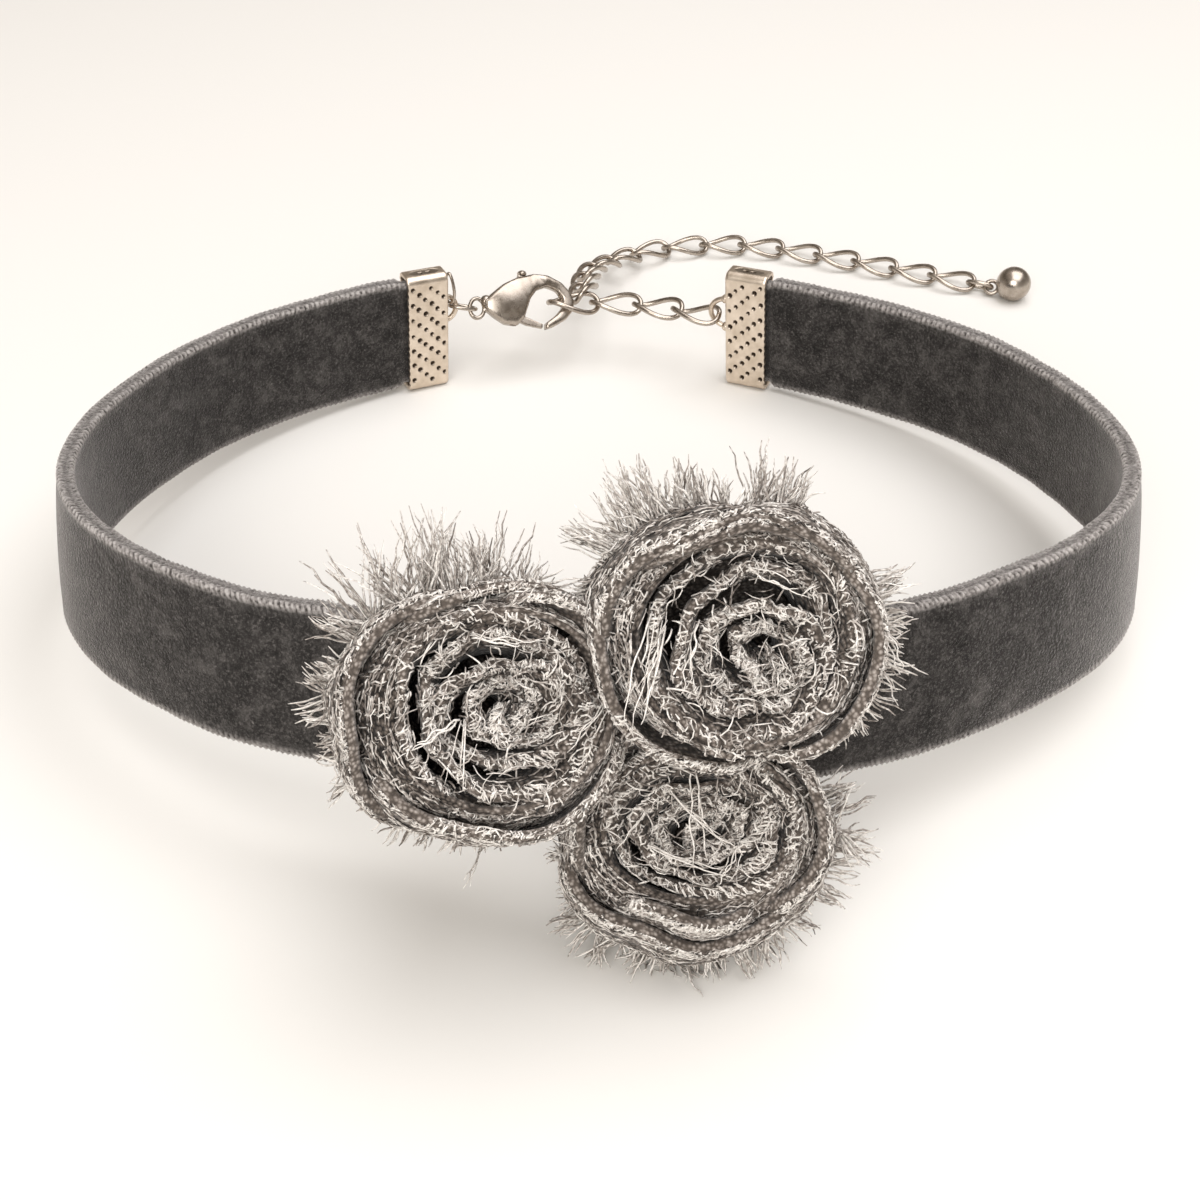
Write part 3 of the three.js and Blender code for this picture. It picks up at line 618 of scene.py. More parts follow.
def dent_depth(x, z, spots):
    """How deep the stamped dents are at a place on a broad face. spots keeps each dent's place."""
    column = round(x / DENT_COLUMN - 0.5)
    best = 0.0
    for c in (column - 1, column, column + 1):
        row = round((z - c * DENT_SHIFT) / DENT_PITCH)
        for r in (row - 1, row, row + 1):
            uneven = (UNEVEN.uniform(-0.07, 0.07), UNEVEN.uniform(-0.09, 0.09), UNEVEN.uniform(0.8, 1.15))
            wobble = spots.setdefault((c, r), uneven)
            centre_x = (c + 0.5) * DENT_COLUMN + wobble[0]
            centre_z = r * DENT_PITCH + c * DENT_SHIFT + wobble[1]
            if abs(centre_z) > CLAMP_HEIGHT / 2 - 1.0 or abs(centre_x) > 2.5:
                continue
            off = math.hypot(x - centre_x, z - centre_z) / (DENT_RADIUS * wobble[2])
            if off < 1:
                best = max(best, (1 - off ** 3) * DENT_DEPTH)
    return best


def sheet_place(v):
    """Stretch of the sheet at v from 0 to 1, the place along the clamp and the inset there."""
    row = v * sum(SHEET_ROWS)
    stretch = 0
    while stretch < len(SHEET_ROWS) - 1 and row > SHEET_ROWS[stretch] + 1e-6:
        row -= SHEET_ROWS[stretch]
        stretch += 1
    share = row / SHEET_ROWS[stretch]
    (x0, i0), (x1, i1) = SHEET[stretch:stretch + 2]
    return stretch, x0 + (x1 - x0) * share, i0 + (i1 - i0) * share


def top_dent(x, y):
    """How deep the top is stamped: two dents in a shallow oval panel."""
    off = min(math.hypot((x - spot) * 0.8, y * 1.5) for spot in TOP_DENTS) / 0.34
    panel = math.hypot(x / 2.0, y / 0.75)
    return max(1 - off ** 2, 0.0) * 0.25 + 0.06 * (panel < 1)


def stamping(u, v, spots):
    """How deep the sheet is stamped at a place of the outside."""
    stretch, along, _ = sheet_place(v)
    y, z, face = rounded_rectangle(u % 1.0, 0.0)
    x = CLAMP_LENGTH / 2 - along
    if stretch != OUTSIDE or face not in (0, 1, 2):
        return 0.0
    return top_dent(x, y) if face == 1 else dent_depth(x, z, spots)


def clamp_wrap(side, spots):
    """Where the clamp's sheet lies: u round its section, v along the sheet."""
    def wrap(u, v):
        stretch, along, inset = sheet_place(v)
        squeeze = min(inset, CLAMP_CORNER - 0.02)
        y, z, face = rounded_rectangle(u % 1.0, squeeze)
        y *= (CLAMP_THICKNESS / 2 - inset) / (CLAMP_THICKNESS / 2 - squeeze)
        x = CLAMP_LENGTH / 2 - along
        depth = stamping(u, v, spots)
        if face == 1:
            z -= depth
        elif depth:
            y -= math.copysign(depth, y)
        if stretch in OPEN_EDGE and face in (0, 2):
            tooth = 0.5 + 0.5 * math.sin(2 * math.pi * z / TOOTH_PITCH)
            x += TOOTH_DEPTH * tooth * math.sin(math.pi * min(inset / CLAMP_WALL, 1))
        return Vector((side * x, y, z))
    return wrap


def stamped_material():
    # As the chain's nickel, with painted shade dark in the dents.
    material, tree = new_material("stamped_nickel_plate")
    coords = add_node(tree, "ShaderNodeTexCoord")
    wear = add_node(tree, "ShaderNodeTexNoise", {"Scale": 700.0, "Detail": 4.0},
                    {"Vector": coords.outputs["Object"]})
    tone = add_node(tree, "ShaderNodeValToRGB", links={0: wear.outputs["Fac"]})
    set_ramp(tone, [(0.3, "#CCBDAB"), (0.7, "#E8DACA")])
    # The dent attribute is 1 in the dents, and the dark colour it mixes in there is painted shade.
    dent = add_node(tree, "ShaderNodeAttribute", {"attribute_name": "dent"})
    colour = add_node(tree, "ShaderNodeMix", {"data_type": "RGBA", 7: linear("#3E342C")},
                      {0: dent.outputs["Fac"], 6: tone.outputs[0]})
    rough = add_node(tree, "ShaderNodeMapRange", {"To Min": 0.28, "To Max": 0.45},
                     {"Value": wear.outputs["Fac"]})
    bump = add_node(tree, "ShaderNodeBump", {"Strength": 0.35, "Distance": 0.00004},
                    {"Height": wear.outputs["Fac"]})
    shader = add_node(tree, "ShaderNodeBsdfPrincipled", {"Metallic": 1.0},
                      {"Base Color": colour.outputs[2], "Roughness": rough.outputs[0],
                       "Normal": bump.outputs[0]})
    output_surface(tree, shader)
    return material


STAMPED = stamped_material()
for clamp_node, place in CLAMPS.items():
    clamp_spots = {}
    # Each clamp keeps how deep its dents are, for the painted shade in them.
    clamp = wrapped_grid("stamped_" + clamp_node, ROUND_CLAMP, sum(SHEET_ROWS),
                         clamp_wrap(place["side"], clamp_spots),
                         dent=lambda u, v: min(stamping(u, v, clamp_spots) / DENT_DEPTH * 2.0, 1.0))
    close_seams(clamp, 1e-4 * MM)
    loop_middle = Matrix.Translation((place["side"] * CLAMP_LENGTH / 2, 0, place["up"]))
    loop_frame = loop_middle @ Matrix.Rotation(math.pi / 2, 4, "X")
    loop = round_ring(clamp_node + "_loop", place["reach"], place["half"], LOOP_WIRE, loop_frame)
    added = [loop]
    if place["ends"]:
        for end in (-1, 1):
            out = place["side"] * (CLAMP_LENGTH / 2 + LOOP_END_OUT)
            spot = (out, 0, place["up"] + end * place["half"] * 0.98)
            added.append(bead(place["ends"], Matrix.Translation(spot)))
    join_into(clamp, *added)
    clamp.data.transform(ribbon_frame(place["bearing"]))
    finish_piece(clamp, clamp_node, STAMPED)
    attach(clamp, "necklace")


# Roses
# Each is a strip of coarse undyed cotton, torn so that its edges fray, folded along its length
# and wound from the heart outwards. The outer turn opens into a bowl that is sewn to the ribbon.
SEAT_GAP = 0.3
# How far forward on the bowl its widest place is.
RIM_SHARE = 0.34
# seat: bearing on the ribbon, height up it and radius. rim and mouth: x, y, z, then how far the
# plane looks up and to the side, in degrees. wide and high: half axes of the mouth. reach: radius
# of the rim at eight places round from the right. hand, start and heart: which way the strip is
# wound, where it starts and how far its heart is off the middle. wraps: loose outer folds, each
# from a turn to a turn and from a share to a share of the way up the bowl. fray: locks of thread
# at the rim, each row from a turn to a turn, a number of locks and a length. loose: pulled
# threads, from x, y to x, y in the plane of the mouth.
ROSES = {
    "left": {
        "seat": (255, 2.2, 5.0), "rim": (-9.25, -39.5, 25.6, 18, 6), "mouth": (-6.0, -45.0, 30.6, 32, 10),
        "wide": 8.2, "high": 7.6, "reach": (11.0, 10.6, 10.1, 11.1, 11.2, 11.4, 11.0, 10.4), "seed": 11,
        "hand": 1, "start": 150, "heart": (1.3, 0.3),
        "wraps": ((-40, 125, 0.5, 0.9), (205, 345, 0.62, 0.96), (100, 225, 0.42, 0.8), (20, 80, 0.7, 0.99)),
        "fray": ((126, 142, 6, 7.5), (95, 122, 11, 9.0), (70, 93, 9, 8.6), (58, 70, 3, 5.0),
                 (150, 205, 12, 3.4), (205, 300, 9, 2.6), (-40, 60, 5, 2.0)),
        "loose": ((-3.6, -0.5, -8.6, -2.5), (-3.0, -0.6, -3.8, -5.4), (-9.3, 1.0, -13.1, -1.8),
                  (-11.4, -1.3, -13.1, -4.6), (2.8, -7.6, 4.4, -11.8), (0.0, -9.9, -3.9, -13.8),
                  (8.2, 0.0, 4.4, -3.7), (-2.0, 6.0, 3.5, 5.0)),
    },
    "top": {
        "seat": (288, 4.6, 4.2), "rim": (11.2, -38.0, 33.9, 18, 0), "mouth": (12.0, -44.0, 36.3, 30, 4),
        "wide": 8.1, "high": 7.8, "reach": (11.3, 10.8, 9.3, 10.6, 10.8, 9.3, 8.6, 10.8), "seed": 23,
        "hand": -1, "start": 40, "heart": (2.1, -2.0),
        "wraps": ((20, 178, 0.5, 0.92), (165, 290, 0.42, 0.84), (-80, 40, 0.6, 0.95), (60, 140, 0.7, 0.99)),
        "fray": ((108, 150, 16, 6.4), (62, 84, 8, 5.8), (84, 108, 6, 4.4), (-46, 24, 16, 5.6),
                 (150, 250, 6, 2.0), (250, 316, 4, 1.8)),
        "loose": ((-6.8, 2.4, -9.2, -5.2), (-5.8, 2.0, -7.8, -4.0), (-7.6, 4.0, -10.8, -4.0),
                  (-6.2, 0.5, -8.8, -6.0), (9.8, 0.8, 12.2, -3.2), (9.0, -2.4, 11.6, 0.4),
                  (-3.4, 1.6, -4.4, -3.0), (0.6, 5.4, 4.8, 3.4)),
    },
    "low": {
        "seat": (284, -4.8, 4.2), "rim": (8.7, -40.5, 12.0, 18, -2), "mouth": (9.2, -45.0, 18.3, 16, 0),
        "wide": 8.0, "high": 6.9, "reach": (12.2, 10.0, 8.9, 9.0, 10.7, 11.6, 11.7, 11.4), "seed": 37,
        "hand": 1, "start": 20, "heart": (1.1, 0.3),
        "wraps": ((-50, 85, 0.55, 0.93), (190, 325, 0.45, 0.85), (70, 200, 0.6, 0.95), (230, 300, 0.7, 0.99)),
        "fray": ((-24, 28, 12, 5.0), (214, 262, 12, 4.6), (262, 324, 14, 4.4), (150, 216, 5, 2.0)),
        "loose": ((-0.6, 4.6, -0.3, -3.4), (-5.2, -1.8, 2.8, -4.4), (-2.4, 2.8, 3.6, -2.2),
                  (3.6, -2.0, 1.6, -5.0), (10.0, 1.0, 12.6, 2.0), (7.0, -6.4, 9.4, -8.6),
                  (-4.0, 1.2, -6.6, -1.8)),
    },
}
# Section of the folded strip: how far out and how far forward, from its deep edge over the fold.
FOLD = np.array([(-0.2, -4.2), (0.0, -2.8), (0.25, -1.5), (0.6, -0.65), (0.95, -0.12), (1.2, 0.0),
                 (1.34, -0.25), (1.3, -0.8), (1.1, -1.6)])
COIL_TURNS = 4.7
HEART_RADIUS = 0.35
WOUND_REACH = 7.4
BOWL_WALL = 0.5
FOLD_WALL = 0.4
STRIP_WALL = 0.26


def plane_axes(x, y, z, rise, heading):
    """Middle, right, up and forward of a plane that looks out of the rose."""
    rise = math.radians(rise)
    heading = math.radians(heading)
    level = math.cos(rise)
    forward = np.array((math.sin(heading) * level, -math.cos(heading) * level, math.sin(rise)))
    right = np.cross((0, 0, 1), forward)
    right /= np.linalg.norm(right)
    return np.array((x, y, z)), right, np.cross(forward, right), forward


def seat_axes(bearing, height_up):
    """The same for the place on the ribbon that the rose is sewn to."""
    place = ribbon_frame(bearing)
    middle = place @ Vector((0, -RIBBON_THICKNESS / 2 - SEAT_GAP, height_up))
    axes = [np.array(place.to_3x3().col[i]) / MM for i in range(3)]
    centre = np.array(middle) / MM + np.array((ORIGIN[0], ORIGIN[1], 0))
    return centre, axes[0], axes[2], -axes[1]


def on_plane(axes, x, y, z=0.0):
    """Places at x and y in a plane and z in front of it."""
    middle, right, up, forward = axes
    x, y, z = (np.asarray(value, float)[..., None] for value in np.broadcast_arrays(x, y, z))
    return middle + right * x + up * y + forward * z


def bowl_points(rose, turn, share, inset=0.0):
    """Places on the bowl at a turn about it and a share of the way from its seat to its mouth."""
    c, s = np.cos(turn), np.sin(turn)
    ruffle = 0.25 * np.sin(7 * turn) + 0.15 * np.sin(11 * turn + 1)
    rim_reach = np.array([periodic(rose["reach"], math.degrees(t)) for t in np.atleast_1d(turn)])
    reach = rim_reach + ruffle - 1.5 * inset
    sewn = (rose["seat"][2] - inset) * np.clip(share / 0.02, 0, 1)
    base = on_plane(rose["seat_axes"], sewn * c, sewn * s)
    rim = on_plane(rose["rim_axes"], reach * c, reach * s, 0.5 * inset)
    lip = -0.35 if inset else 0.0
    mouth = on_plane(rose["mouth_axes"], (rose["wide"] - inset) * c, (rose["high"] - inset) * s, lip)
    out = rose["rim_axes"][1] * c[..., None] + rose["rim_axes"][2] * s[..., None]
    shoulder = rim + (mouth - rim) * 0.35 + rose["rim_axes"][3] * (2.0 - 0.6 * inset) + out * 0.9
    waist = base + (rim - base) * 0.55 - out * 0.5
    back = np.clip(share / RIM_SHARE, 0, 1)[..., None]
    behind = (1 - back) ** 2 * base + 2 * back * (1 - back) * waist + back ** 2 * rim
    front = np.clip((share - RIM_SHARE) / (1 - RIM_SHARE), 0, 1)[..., None]
    ahead = (1 - front) ** 2 * rim + 2 * front * (1 - front) * shoulder + front ** 2 * mouth
    return np.where(share[..., None] < RIM_SHARE, behind, ahead)


def coil_points(rose, t, w):
    """Places on the wound strip: t runs along it from the heart out, w from its deep edge over its fold.
    Its turns are uneven, so that they touch in some places and gape in others."""
    turned = 2 * math.pi * COIL_TURNS * t
    angle = math.radians(rose["start"]) + rose["hand"] * turned
    seed = rose["seed"]
    grown = np.minimum(t * COIL_TURNS / (COIL_TURNS - 0.6), 1.0)
    radius = HEART_RADIUS + WOUND_REACH * grown
    radius = radius + 0.26 * np.sin(1.63 * turned + seed) + 0.16 * np.sin(2.71 * turned + 2 * seed)
    tucked = np.clip((t - 0.94) / 0.06, 0, 1) ** 2
    front = -2.4 * (1 - t) ** 1.3 + 0.1
    front = front + 0.5 * np.sin(1.37 * turned + seed) + 0.3 * np.sin(3.3 * turned + seed)
    front = front + 0.12 * np.sin(8.3 * turned) - 2.2 * tucked
    fullness = 1.14 + 0.35 * np.sin(2.2 * turned + seed) + 0.15 * np.sin(7.1 * turned)
    stops = np.linspace(0, 1, len(FOLD))
    out = np.interp(w, stops, FOLD[:, 0]) * fullness - 0.65
    ahead = np.interp(w, stops, FOLD[:, 1]) + 0.1 * np.sin(11 * turned) * (w > 0.3)
    across, up = rose["heart"]
    ease = 1 - grown
    x = (radius * rose["wide"] / 8.2 + out) * np.cos(angle) + across * ease
    y = (radius * rose["high"] / 8.2 + out) * np.sin(angle) + up * ease
    middle = rose["mouth_axes"][0]
    inward = rose["rim_axes"][0] - middle
    inward = inward / np.linalg.norm(inward)
    return on_plane(rose["mouth_axes"], x, y) - inward * (front + ahead)[..., None]


def wrap_points(rose, wrap, t, w):
    """Places on a loose outer fold that lies over the bowl between two bearings."""
    first, last, low, high = wrap
    turn = np.radians(first + (last - first) * t)
    ends = np.sin(np.pi * np.clip(t, 0, 1)) ** 0.5
    share = low + (high - low) * np.minimum(w / 0.8, 1.0) * (0.55 + 0.45 * ends)
    share = share + 0.03 * np.sin(5 * turn + rose["seed"])
    base = bowl_points(rose, turn, np.clip(share, 0, 1))
    step = bowl_points(rose, turn + 0.02, np.clip(share, 0, 1)) - base
    above = bowl_points(rose, turn, np.clip(share + 0.02, 0, 1))
    rise = above - bowl_points(rose, turn, np.clip(share - 0.02, 0, 1))
    normal = np.cross(step, rise)
    normal /= np.linalg.norm(normal, axis=-1, keepdims=True) + 1e-9
    lift = 0.25 + 2.0 * np.clip(w / 0.8, 0, 1) ** 1.5 * ends - 0.7 * np.clip((w - 0.8) / 0.2, 0, 1)
    return base + normal * lift[..., None]


def to_metres(points):
    """Places in mm about the loop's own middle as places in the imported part's frame."""
    return (np.asarray(points) - (ORIGIN[0], ORIGIN[1], 0)) * MM


def cloth_sheet(name, columns, rows, place, tone, wall):
    """A sheet of cloth: a grid laid in space, its tone kept for the material, then given a wall."""
    bpy.ops.object.select_all(action="DESELECT")
    bpy.ops.mesh.primitive_grid_add(x_subdivisions=columns, y_subdivisions=rows, size=2.0)
    sheet = bpy.context.object
    sheet.name = name
    grid = np.empty(len(sheet.data.vertices) * 3)
    sheet.data.vertices.foreach_get("co", grid)
    grid = (grid.reshape(-1, 3) + 1) / 2
    spots = to_metres(place(grid[:, 0], grid[:, 1]))
    sheet.data.vertices.foreach_set("co", spots.ravel())
    mask = sheet.data.attributes.new("tone", "FLOAT", "POINT")
    mask.data.foreach_set("value", np.asarray(tone(grid[:, 0], grid[:, 1]), float))
    edit_all(sheet)
    bpy.ops.mesh.remove_doubles(threshold=2e-6)
    bpy.ops.mesh.normals_make_consistent(inside=False)
    bpy.ops.object.mode_set(mode="OBJECT")
    apply_modifier(sheet, "SOLIDIFY", thickness=wall * MM, offset=0.0)
    return sheet


# Threads that hang to the table lie on it, at this height.
STRAND_FLOOR = 0.25


def strand_mesh(name, paths, radius, tone, sides=3):
    """Fine threads as one mesh: paths is threads by points by place in mm, each a tapered tube."""
    paths = np.array(paths, float)
    paths[..., 2] = np.maximum(paths[..., 2], STRAND_FLOOR)
    count, length, _ = paths.shape
    along = np.gradient(paths, axis=1)
    along /= np.linalg.norm(along, axis=2, keepdims=True) + 1e-9
    rng = np.random.default_rng(count)
    aside = np.cross(along, rng.normal(size=(count, 1, 3)))
    aside /= np.linalg.norm(aside, axis=2, keepdims=True) + 1e-9
    other = np.cross(along, aside)
    taper = np.interp(np.linspace(0, 1, length), (0, 0.7, 1), (1.0, 0.9, 0.4))
    reach = np.broadcast_to(radius, (count,))[:, None, None] * taper[None, :, None]
    turns = 2 * np.pi * np.arange(sides) / sides
    rings = [paths + reach * (aside * math.cos(a) + other * math.sin(a)) for a in turns]
    verts = to_metres(np.stack(rings, axis=2).reshape(-1, 3))
    start = (np.arange(count) * length * sides)[:, None, None]
    ring = (np.arange(length - 1) * sides)[None, :, None]
    a = start + ring + np.arange(sides)[None, None, :]
    b = start + ring + ((np.arange(sides) + 1) % sides)[None, None, :]
    quads = np.stack([a, b, b + sides, a + sides], axis=-1).reshape(-1, 4)
    first = (np.arange(count) * length * sides)[:, None] + np.arange(sides)[::-1][None, :]
    last = (np.arange(count) * length * sides + (length - 1) * sides)[:, None] + np.arange(sides)[None, :]
    mesh = bpy.data.meshes.new(name)
    mesh.from_pydata(verts.tolist(), [], quads.tolist() + first.tolist() + last.tolist())
    piece = bpy.data.objects.new(name, mesh)
    bpy.context.scene.collection.objects.link(piece)
    mask = mesh.attributes.new("tone", "FLOAT", "POINT")
    mask.data.foreach_set("value", np.repeat(np.broadcast_to(tone, (count,)), length * sides).astype(float))
    return piece


def cotton_material():
    # Undyed slubby cotton, warm grey, in a loose basket weave: each thread catches the light and
    # the holes between the threads are dark. The attribute is 0 deep in the windings, as painted shade, 1
    # where pale.
    material, tree = new_material("frayed_cotton")
    coords = add_node(tree, "ShaderNodeTexCoord")
    place = coords.outputs["Object"]
    tone = add_node(tree, "ShaderNodeAttribute", {"attribute_name": "tone"})
    # Threads are about 0.4 mm apart, and a slub is about 0.7 mm long.
    weave = add_node(tree, "ShaderNodeTexVoronoi", {"Scale": 2600.0, "Randomness": 0.9}, {"Vector": place})
    slub = add_node(tree, "ShaderNodeTexNoise", {"Scale": 1500.0, "Detail": 4.0, "Roughness": 0.7},
                    {"Vector": place})
    holes = add_node(tree, "ShaderNodeMapRange", {"From Max": 0.7, "To Min": 0.16, "To Max": -0.3},
                     {"Value": weave.outputs["Distance"]})
    light = add_node(tree, "ShaderNodeMath", {"operation": "ADD"},
                     {0: tone.outputs["Fac"], 1: holes.outputs[0]})
    mixed = add_node(tree, "ShaderNodeMath", {"operation": "MULTIPLY_ADD", 1: 0.5},
                     {0: slub.outputs["Fac"], 2: light.outputs[0]})
    shade = add_node(tree, "ShaderNodeMath", {"operation": "SUBTRACT", 1: 0.25}, {0: mixed.outputs[0]})
    ramp = add_node(tree, "ShaderNodeValToRGB", links={0: shade.outputs[0]})
    set_ramp(ramp, [(0.0, "#1C1816"), (0.3, "#675E57"), (0.6, "#B4ABA4"), (0.95, "#F7F2EC")])
    raised = add_node(tree, "ShaderNodeMath", {"operation": "SUBTRACT"},
                      {0: slub.outputs["Fac"], 1: weave.outputs["Distance"]})
    bump = add_node(tree, "ShaderNodeBump", {"Strength": 0.9, "Distance": 0.00015},
                    {"Height": raised.outputs[0]})
    shader = add_node(tree, "ShaderNodeBsdfPrincipled",
                      {"Roughness": 0.9, "Specular IOR Level": 0.2, "Sheen Weight": 0.15,
                       "Sheen Roughness": 0.5},
                      {"Base Color": ramp.outputs[0], "Normal": bump.outputs[0]})
    output_surface(tree, shader)
    return material


COTTON = cotton_material()


def unit(vectors):
    return vectors / (np.linalg.norm(vectors, axis=-1, keepdims=True) + 1e-9)


def lying_threads(rng, place, away, wall, count, t_range, w_range, length, slant=0.0, spread=22.0):
    """Short threads that lie on a sheet, as places in mm. They run along the sheet, turned by a
    slant with some spread in degrees; away says which side of the sheet shows."""
    steps = np.linspace(-0.5, 0.5, 4)
    t = rng.uniform(*t_range, count)
    w = rng.uniform(*w_range, count)
    here = place(t, w)
    t_rate = np.linalg.norm(place(t + 0.003, w) - here, axis=1)[:, None] / 0.003 + 1
    w_rate = np.linalg.norm(place(t, w - 0.03) - here, axis=1)[:, None] / 0.03 + 1
    turn = np.radians(rng.normal(slant, spread, (count, 1)))
    run = length * rng.uniform(0.5, 1.5, (count, 1)) * steps
    side = 0.11 * np.sin(9 * steps + rng.uniform(0, 6.28, (count, 1)))
    tt = (t[:, None] + (np.cos(turn) * run - np.sin(turn) * side) / t_rate).ravel()
    ww = np.clip(w[:, None] + (np.sin(turn) * run + np.cos(turn) * side) / w_rate, 0.02, 0.98).ravel()
    spots = place(tt, ww)
    normal = unit(np.cross(place(tt + 0.003, ww) - spots, place(tt, ww + 0.01) - spots))
    normal *= np.where((normal * away(spots)).sum(axis=1, keepdims=True) < 0, -1, 1)
    lift = wall / 2 + rng.uniform(0.0, 0.2, (count, 1))
    lift = lift + 0.08 * np.cos(6 * steps + rng.uniform(0, 6, (count, 1)))
    return (spots + normal * lift.reshape(-1, 1)).reshape(count, 4, 3)


def fringe_threads(rng, rose, first, last, locks, length, each=8, low=0.3, high=0.5):
    """Frayed locks that stand out of the rim between two bearings, each fanning from one root."""
    count = locks * each
    steps = np.linspace(0, 1, 7)[None, :, None]
    turn = np.linspace(first, last, locks + 1)[:-1] + rng.uniform(0, (last - first) / locks, locks)
    turn = np.repeat(np.radians(turn), each)
    root = bowl_points(rose, turn + rng.normal(0, 0.035, count), rng.uniform(low, high, count))
    out = rose["rim_axes"][1] * np.cos(turn)[:, None] + rose["rim_axes"][2] * np.sin(turn)[:, None]
    lock_lean = np.repeat(rng.normal(0, 0.32, (locks, 3)), each, axis=0)
    lean = unit(out + lock_lean + rng.normal(0, 0.17, (count, 3)))
    reach = length * np.repeat(rng.uniform(0.5, 1.0, locks), each) * rng.uniform(0.7, 1.0, count)
    reach = reach[:, None, None]
    aside = unit(np.cross(lean, rng.normal(size=(count, 3))))[:, None, :]
    bend = aside * reach * rng.uniform(0.0, 0.22, (count, 1, 1)) * steps ** 2
    crimp = 0.2 * np.sin(steps * reach * 2.6 + rng.uniform(0, 6.28, (count, 1, 1))) * steps ** 0.5
    other = np.cross(aside, lean[:, None, :])
    return root[:, None, :] + lean[:, None, :] * reach * steps + bend + other * crimp


def loose_threads(rng, rose, each=3):
    """Long pale threads pulled out of the windings or the rim: each row of the list is a bundle."""
    steps = np.linspace(0, 1, 11)[:, None]
    made = []
    for x0, y0, x1, y1 in rose["loose"]:
        pulled = math.hypot(x0 / rose["wide"], y0 / rose["high"])
        for k in range(each):
            spread = rng.normal(0, 0.3, 3) * (k > 0)
            if pulled > 1.04:
                turn = np.array([math.atan2(y0 / rose["high"], x0 / rose["wide"])])
                root = bowl_points(rose, turn, np.array([0.5]))[0]
                end = on_plane(rose["mouth_axes"], x1, y1, -2.5)
            else:
                root = on_plane(rose["mouth_axes"], x0, y0, -0.8)
                end = on_plane(rose["mouth_axes"], x1, y1, 0.9)
            end = end + spread * 1.6
            end = root + (end - root) * (rng.uniform(0.6, 1.0) if k else 1.0)
            bow = unit(rng.normal(size=3)) * rng.uniform(0.1, 0.5) + rose["mouth_axes"][3] * 0.6
            crimp = unit(rng.normal(size=3)) * 0.17 * np.sin(14 * steps + rng.uniform(0, 6))
            made.append(root + spread * 0.6 + (end - root) * steps + bow * np.sin(np.pi * steps) + crimp)
    return np.array(made)


def stray_threads(rng, rose, count):
    """Broken threads caught across the windings, at all angles."""
    steps = np.linspace(0, 1, 5)[None, :]
    far = rng.uniform(0.12, 0.98, (count, 1)) ** 0.7
    turn = rng.uniform(0, 6.28, (count, 1))
    heading = turn + rng.normal(1.57, 0.8, (count, 1))
    run = rng.uniform(0.9, 2.6, (count, 1)) * (steps - 0.5)
    bow = rng.uniform(-0.5, 0.5, (count, 1)) * np.sin(np.pi * steps)
    x = rose["wide"] * far * np.cos(turn) + run * np.cos(heading) - bow * np.sin(heading)
    y = rose["high"] * far * np.sin(turn) + run * np.sin(heading) + bow * np.cos(heading)
    rise = rng.uniform(-1.0, 0.6, (count, 1)) + 0.5 * np.sin(np.pi * steps) - 1.5 * (1 - far)
    return on_plane(rose["mouth_axes"], x, y, rise)


def toned_threads(name, rng, paths, radius, tone, spread, sides=3):
    """Threads as one mesh, each with a thickness and a tone of its own."""
    tones = np.clip(rng.normal(tone, spread, len(paths)), 0.1, 1.2)
    return strand_mesh(name, paths, rng.uniform(*radius, len(paths)), tones, sides)


def bowl_tone(u, v):
    return 0.38 + 0.1 * np.sin(9 * u)


# Painted shade: the wound strip is darkest at its deep edge, down in the windings.
def coil_shade_tone(t, w):
    return np.clip(0.12 + 0.6 * w, 0, 0.45)


# Painted shade: each outer fold is darker where it lies low on the bowl, lighter towards its free edge.
def fold_shade_tone(t, w):
    return 0.32 + 0.2 * w


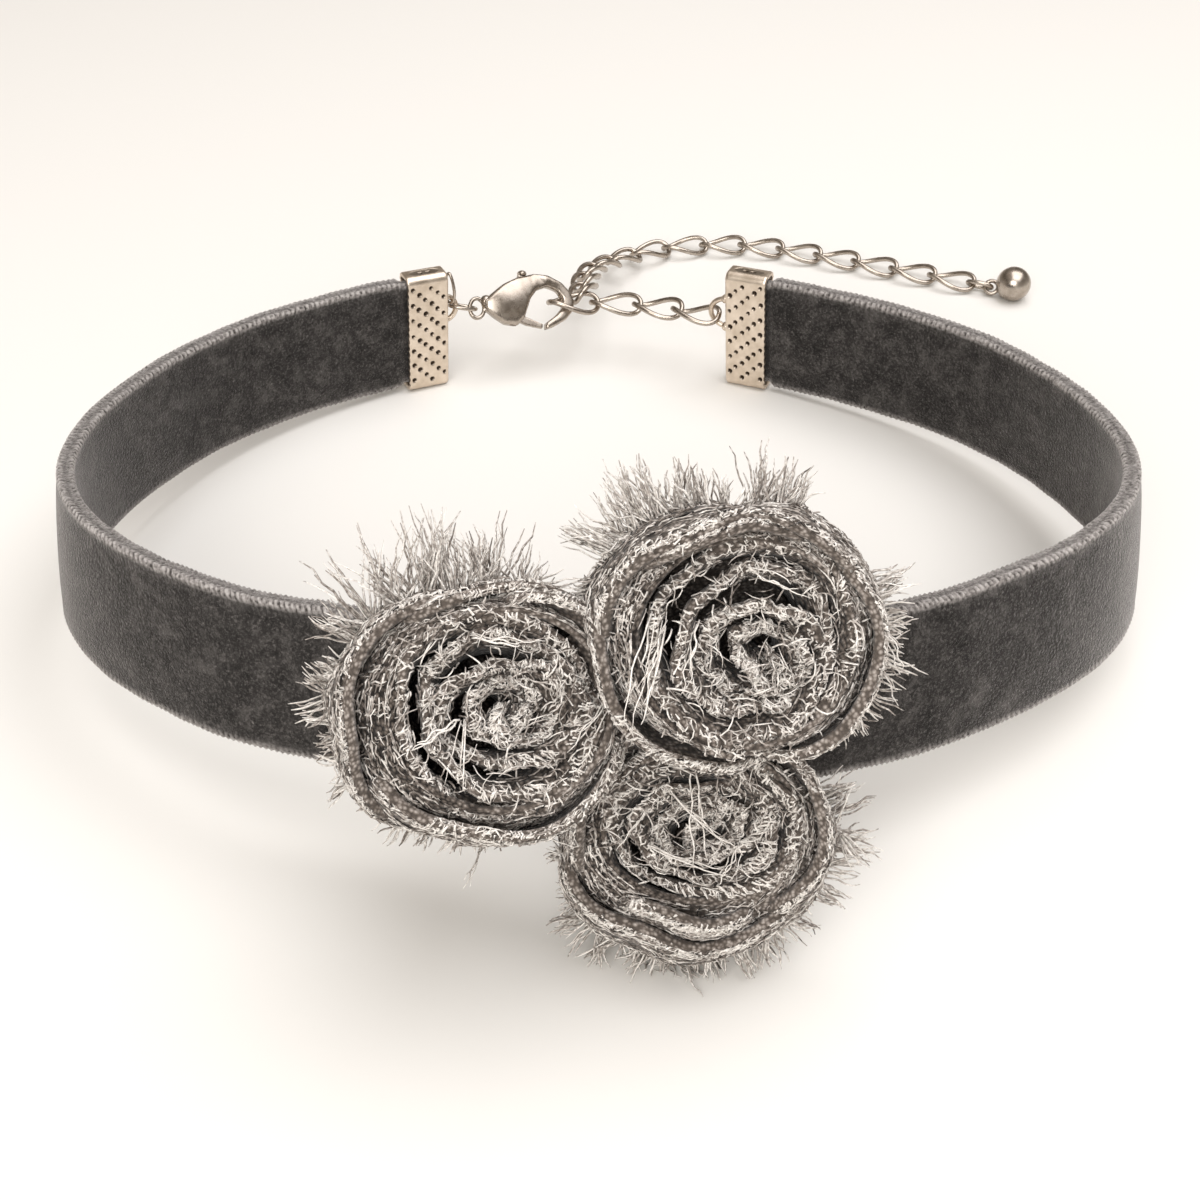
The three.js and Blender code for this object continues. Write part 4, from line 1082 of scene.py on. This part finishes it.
for rose_name, rose in ROSES.items():
    rose["seat_axes"] = seat_axes(*rose["seat"][:2])
    rose["rim_axes"] = plane_axes(*rose["rim"])
    rose["mouth_axes"] = plane_axes(*rose["mouth"])
    rng = np.random.default_rng(rose["seed"])
    bowl_middle = rose["rim_axes"][0] + rose["rim_axes"][3] * 1.0
    from_middle = lambda spots, middle=bowl_middle: spots - middle
    to_front = lambda spots, forward=rose["mouth_axes"][3]: forward
    on_bowl = lambda u, v, rose=rose: bowl_points(rose, 2 * np.pi * u, v)
    on_coil = lambda t, w, rose=rose: coil_points(rose, t, w)
    on_wraps = [lambda t, w, wrap=wrap, rose=rose: wrap_points(rose, wrap, t, w) for wrap in rose["wraps"]]

    cloth = cloth_sheet("rose_" + rose_name + "_cloth", 160, 30, on_bowl, bowl_tone, BOWL_WALL)
    coil = cloth_sheet("wound_strip", 420, 14, on_coil, coil_shade_tone, STRIP_WALL)
    folds = [cloth_sheet("outer_fold", 70, 10, on_wrap, fold_shade_tone, FOLD_WALL) for on_wrap in on_wraps]
    join_into(cloth, coil, *folds)
    bpy.ops.object.shade_smooth()
    cloth.data.materials.append(COTTON)
    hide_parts("rose_" + rose_name + "_bowl", "rose_" + rose_name + "_coil")
    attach(cloth, "necklace")

    bowl = (rng, on_bowl, from_middle, BOWL_WALL)
    strip = (rng, on_coil, to_front, STRIP_WALL)
    woven = [lying_threads(*bowl, 1500, (0, 1), (0.3, 0.99), 1.5, 0, 12),
             lying_threads(*bowl, 500, (0, 1), (0.3, 0.99), 1.0, 90, 12),
             lying_threads(*bowl, 450, (0, 1), (0.04, 0.3), 1.5)]
    edges = []
    for on_wrap in on_wraps:
        fold = (rng, on_wrap, from_middle, FOLD_WALL)
        woven.append(lying_threads(*fold, 300, (0, 1), (0.05, 0.98), 1.5, 0, 14))
        edges.append(lying_threads(*fold, 200, (0.04, 0.96), (0.66, 0.92), 1.1, 55, 30))
    wound = lying_threads(*strip, 800, (0, 0.96), (0.2, 0.99), 1.6)
    edges.append(lying_threads(*strip, 950, (0, 0.96), (0.42, 0.72), 1.0, 55 * rose["hand"], 35))
    # The edges threads, along the crests of the outer folds and the wound strip, are paler than the rest:
    # painted highlight on the ridges.
    pieces = [toned_threads("woven", rng, np.concatenate(woven), (0.06, 0.1), 0.78, 0.22),
              toned_threads("wound", rng, wound, (0.06, 0.1), 0.66, 0.24),
              toned_threads("edges", rng, np.concatenate(edges), (0.07, 0.12), 1.1, 0.12)]
    locks = np.concatenate([fringe_threads(rng, rose, *row) for row in rose["fray"]])
    fuzz = fringe_threads(rng, rose, 0, 360, 130, 1.3, 2, 0.32, 0.98)
    pieces.append(toned_threads("fringe", rng, np.concatenate([locks, fuzz]), (0.08, 0.13), 0.95, 0.16))
    pieces.append(toned_threads("stray", rng, stray_threads(rng, rose, 150), (0.05, 0.09), 0.95, 0.2))
    pieces.append(toned_threads("pale", rng, loose_threads(rng, rose), (0.05, 0.09), 1.1, 0.06, 4))
    threads = join_into(*pieces)
    threads.name = "rose_" + rose_name + "_threads"
    threads.data.name = threads.name
    bpy.ops.object.shade_smooth()
    threads.data.materials.append(COTTON)
    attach(threads, "necklace")
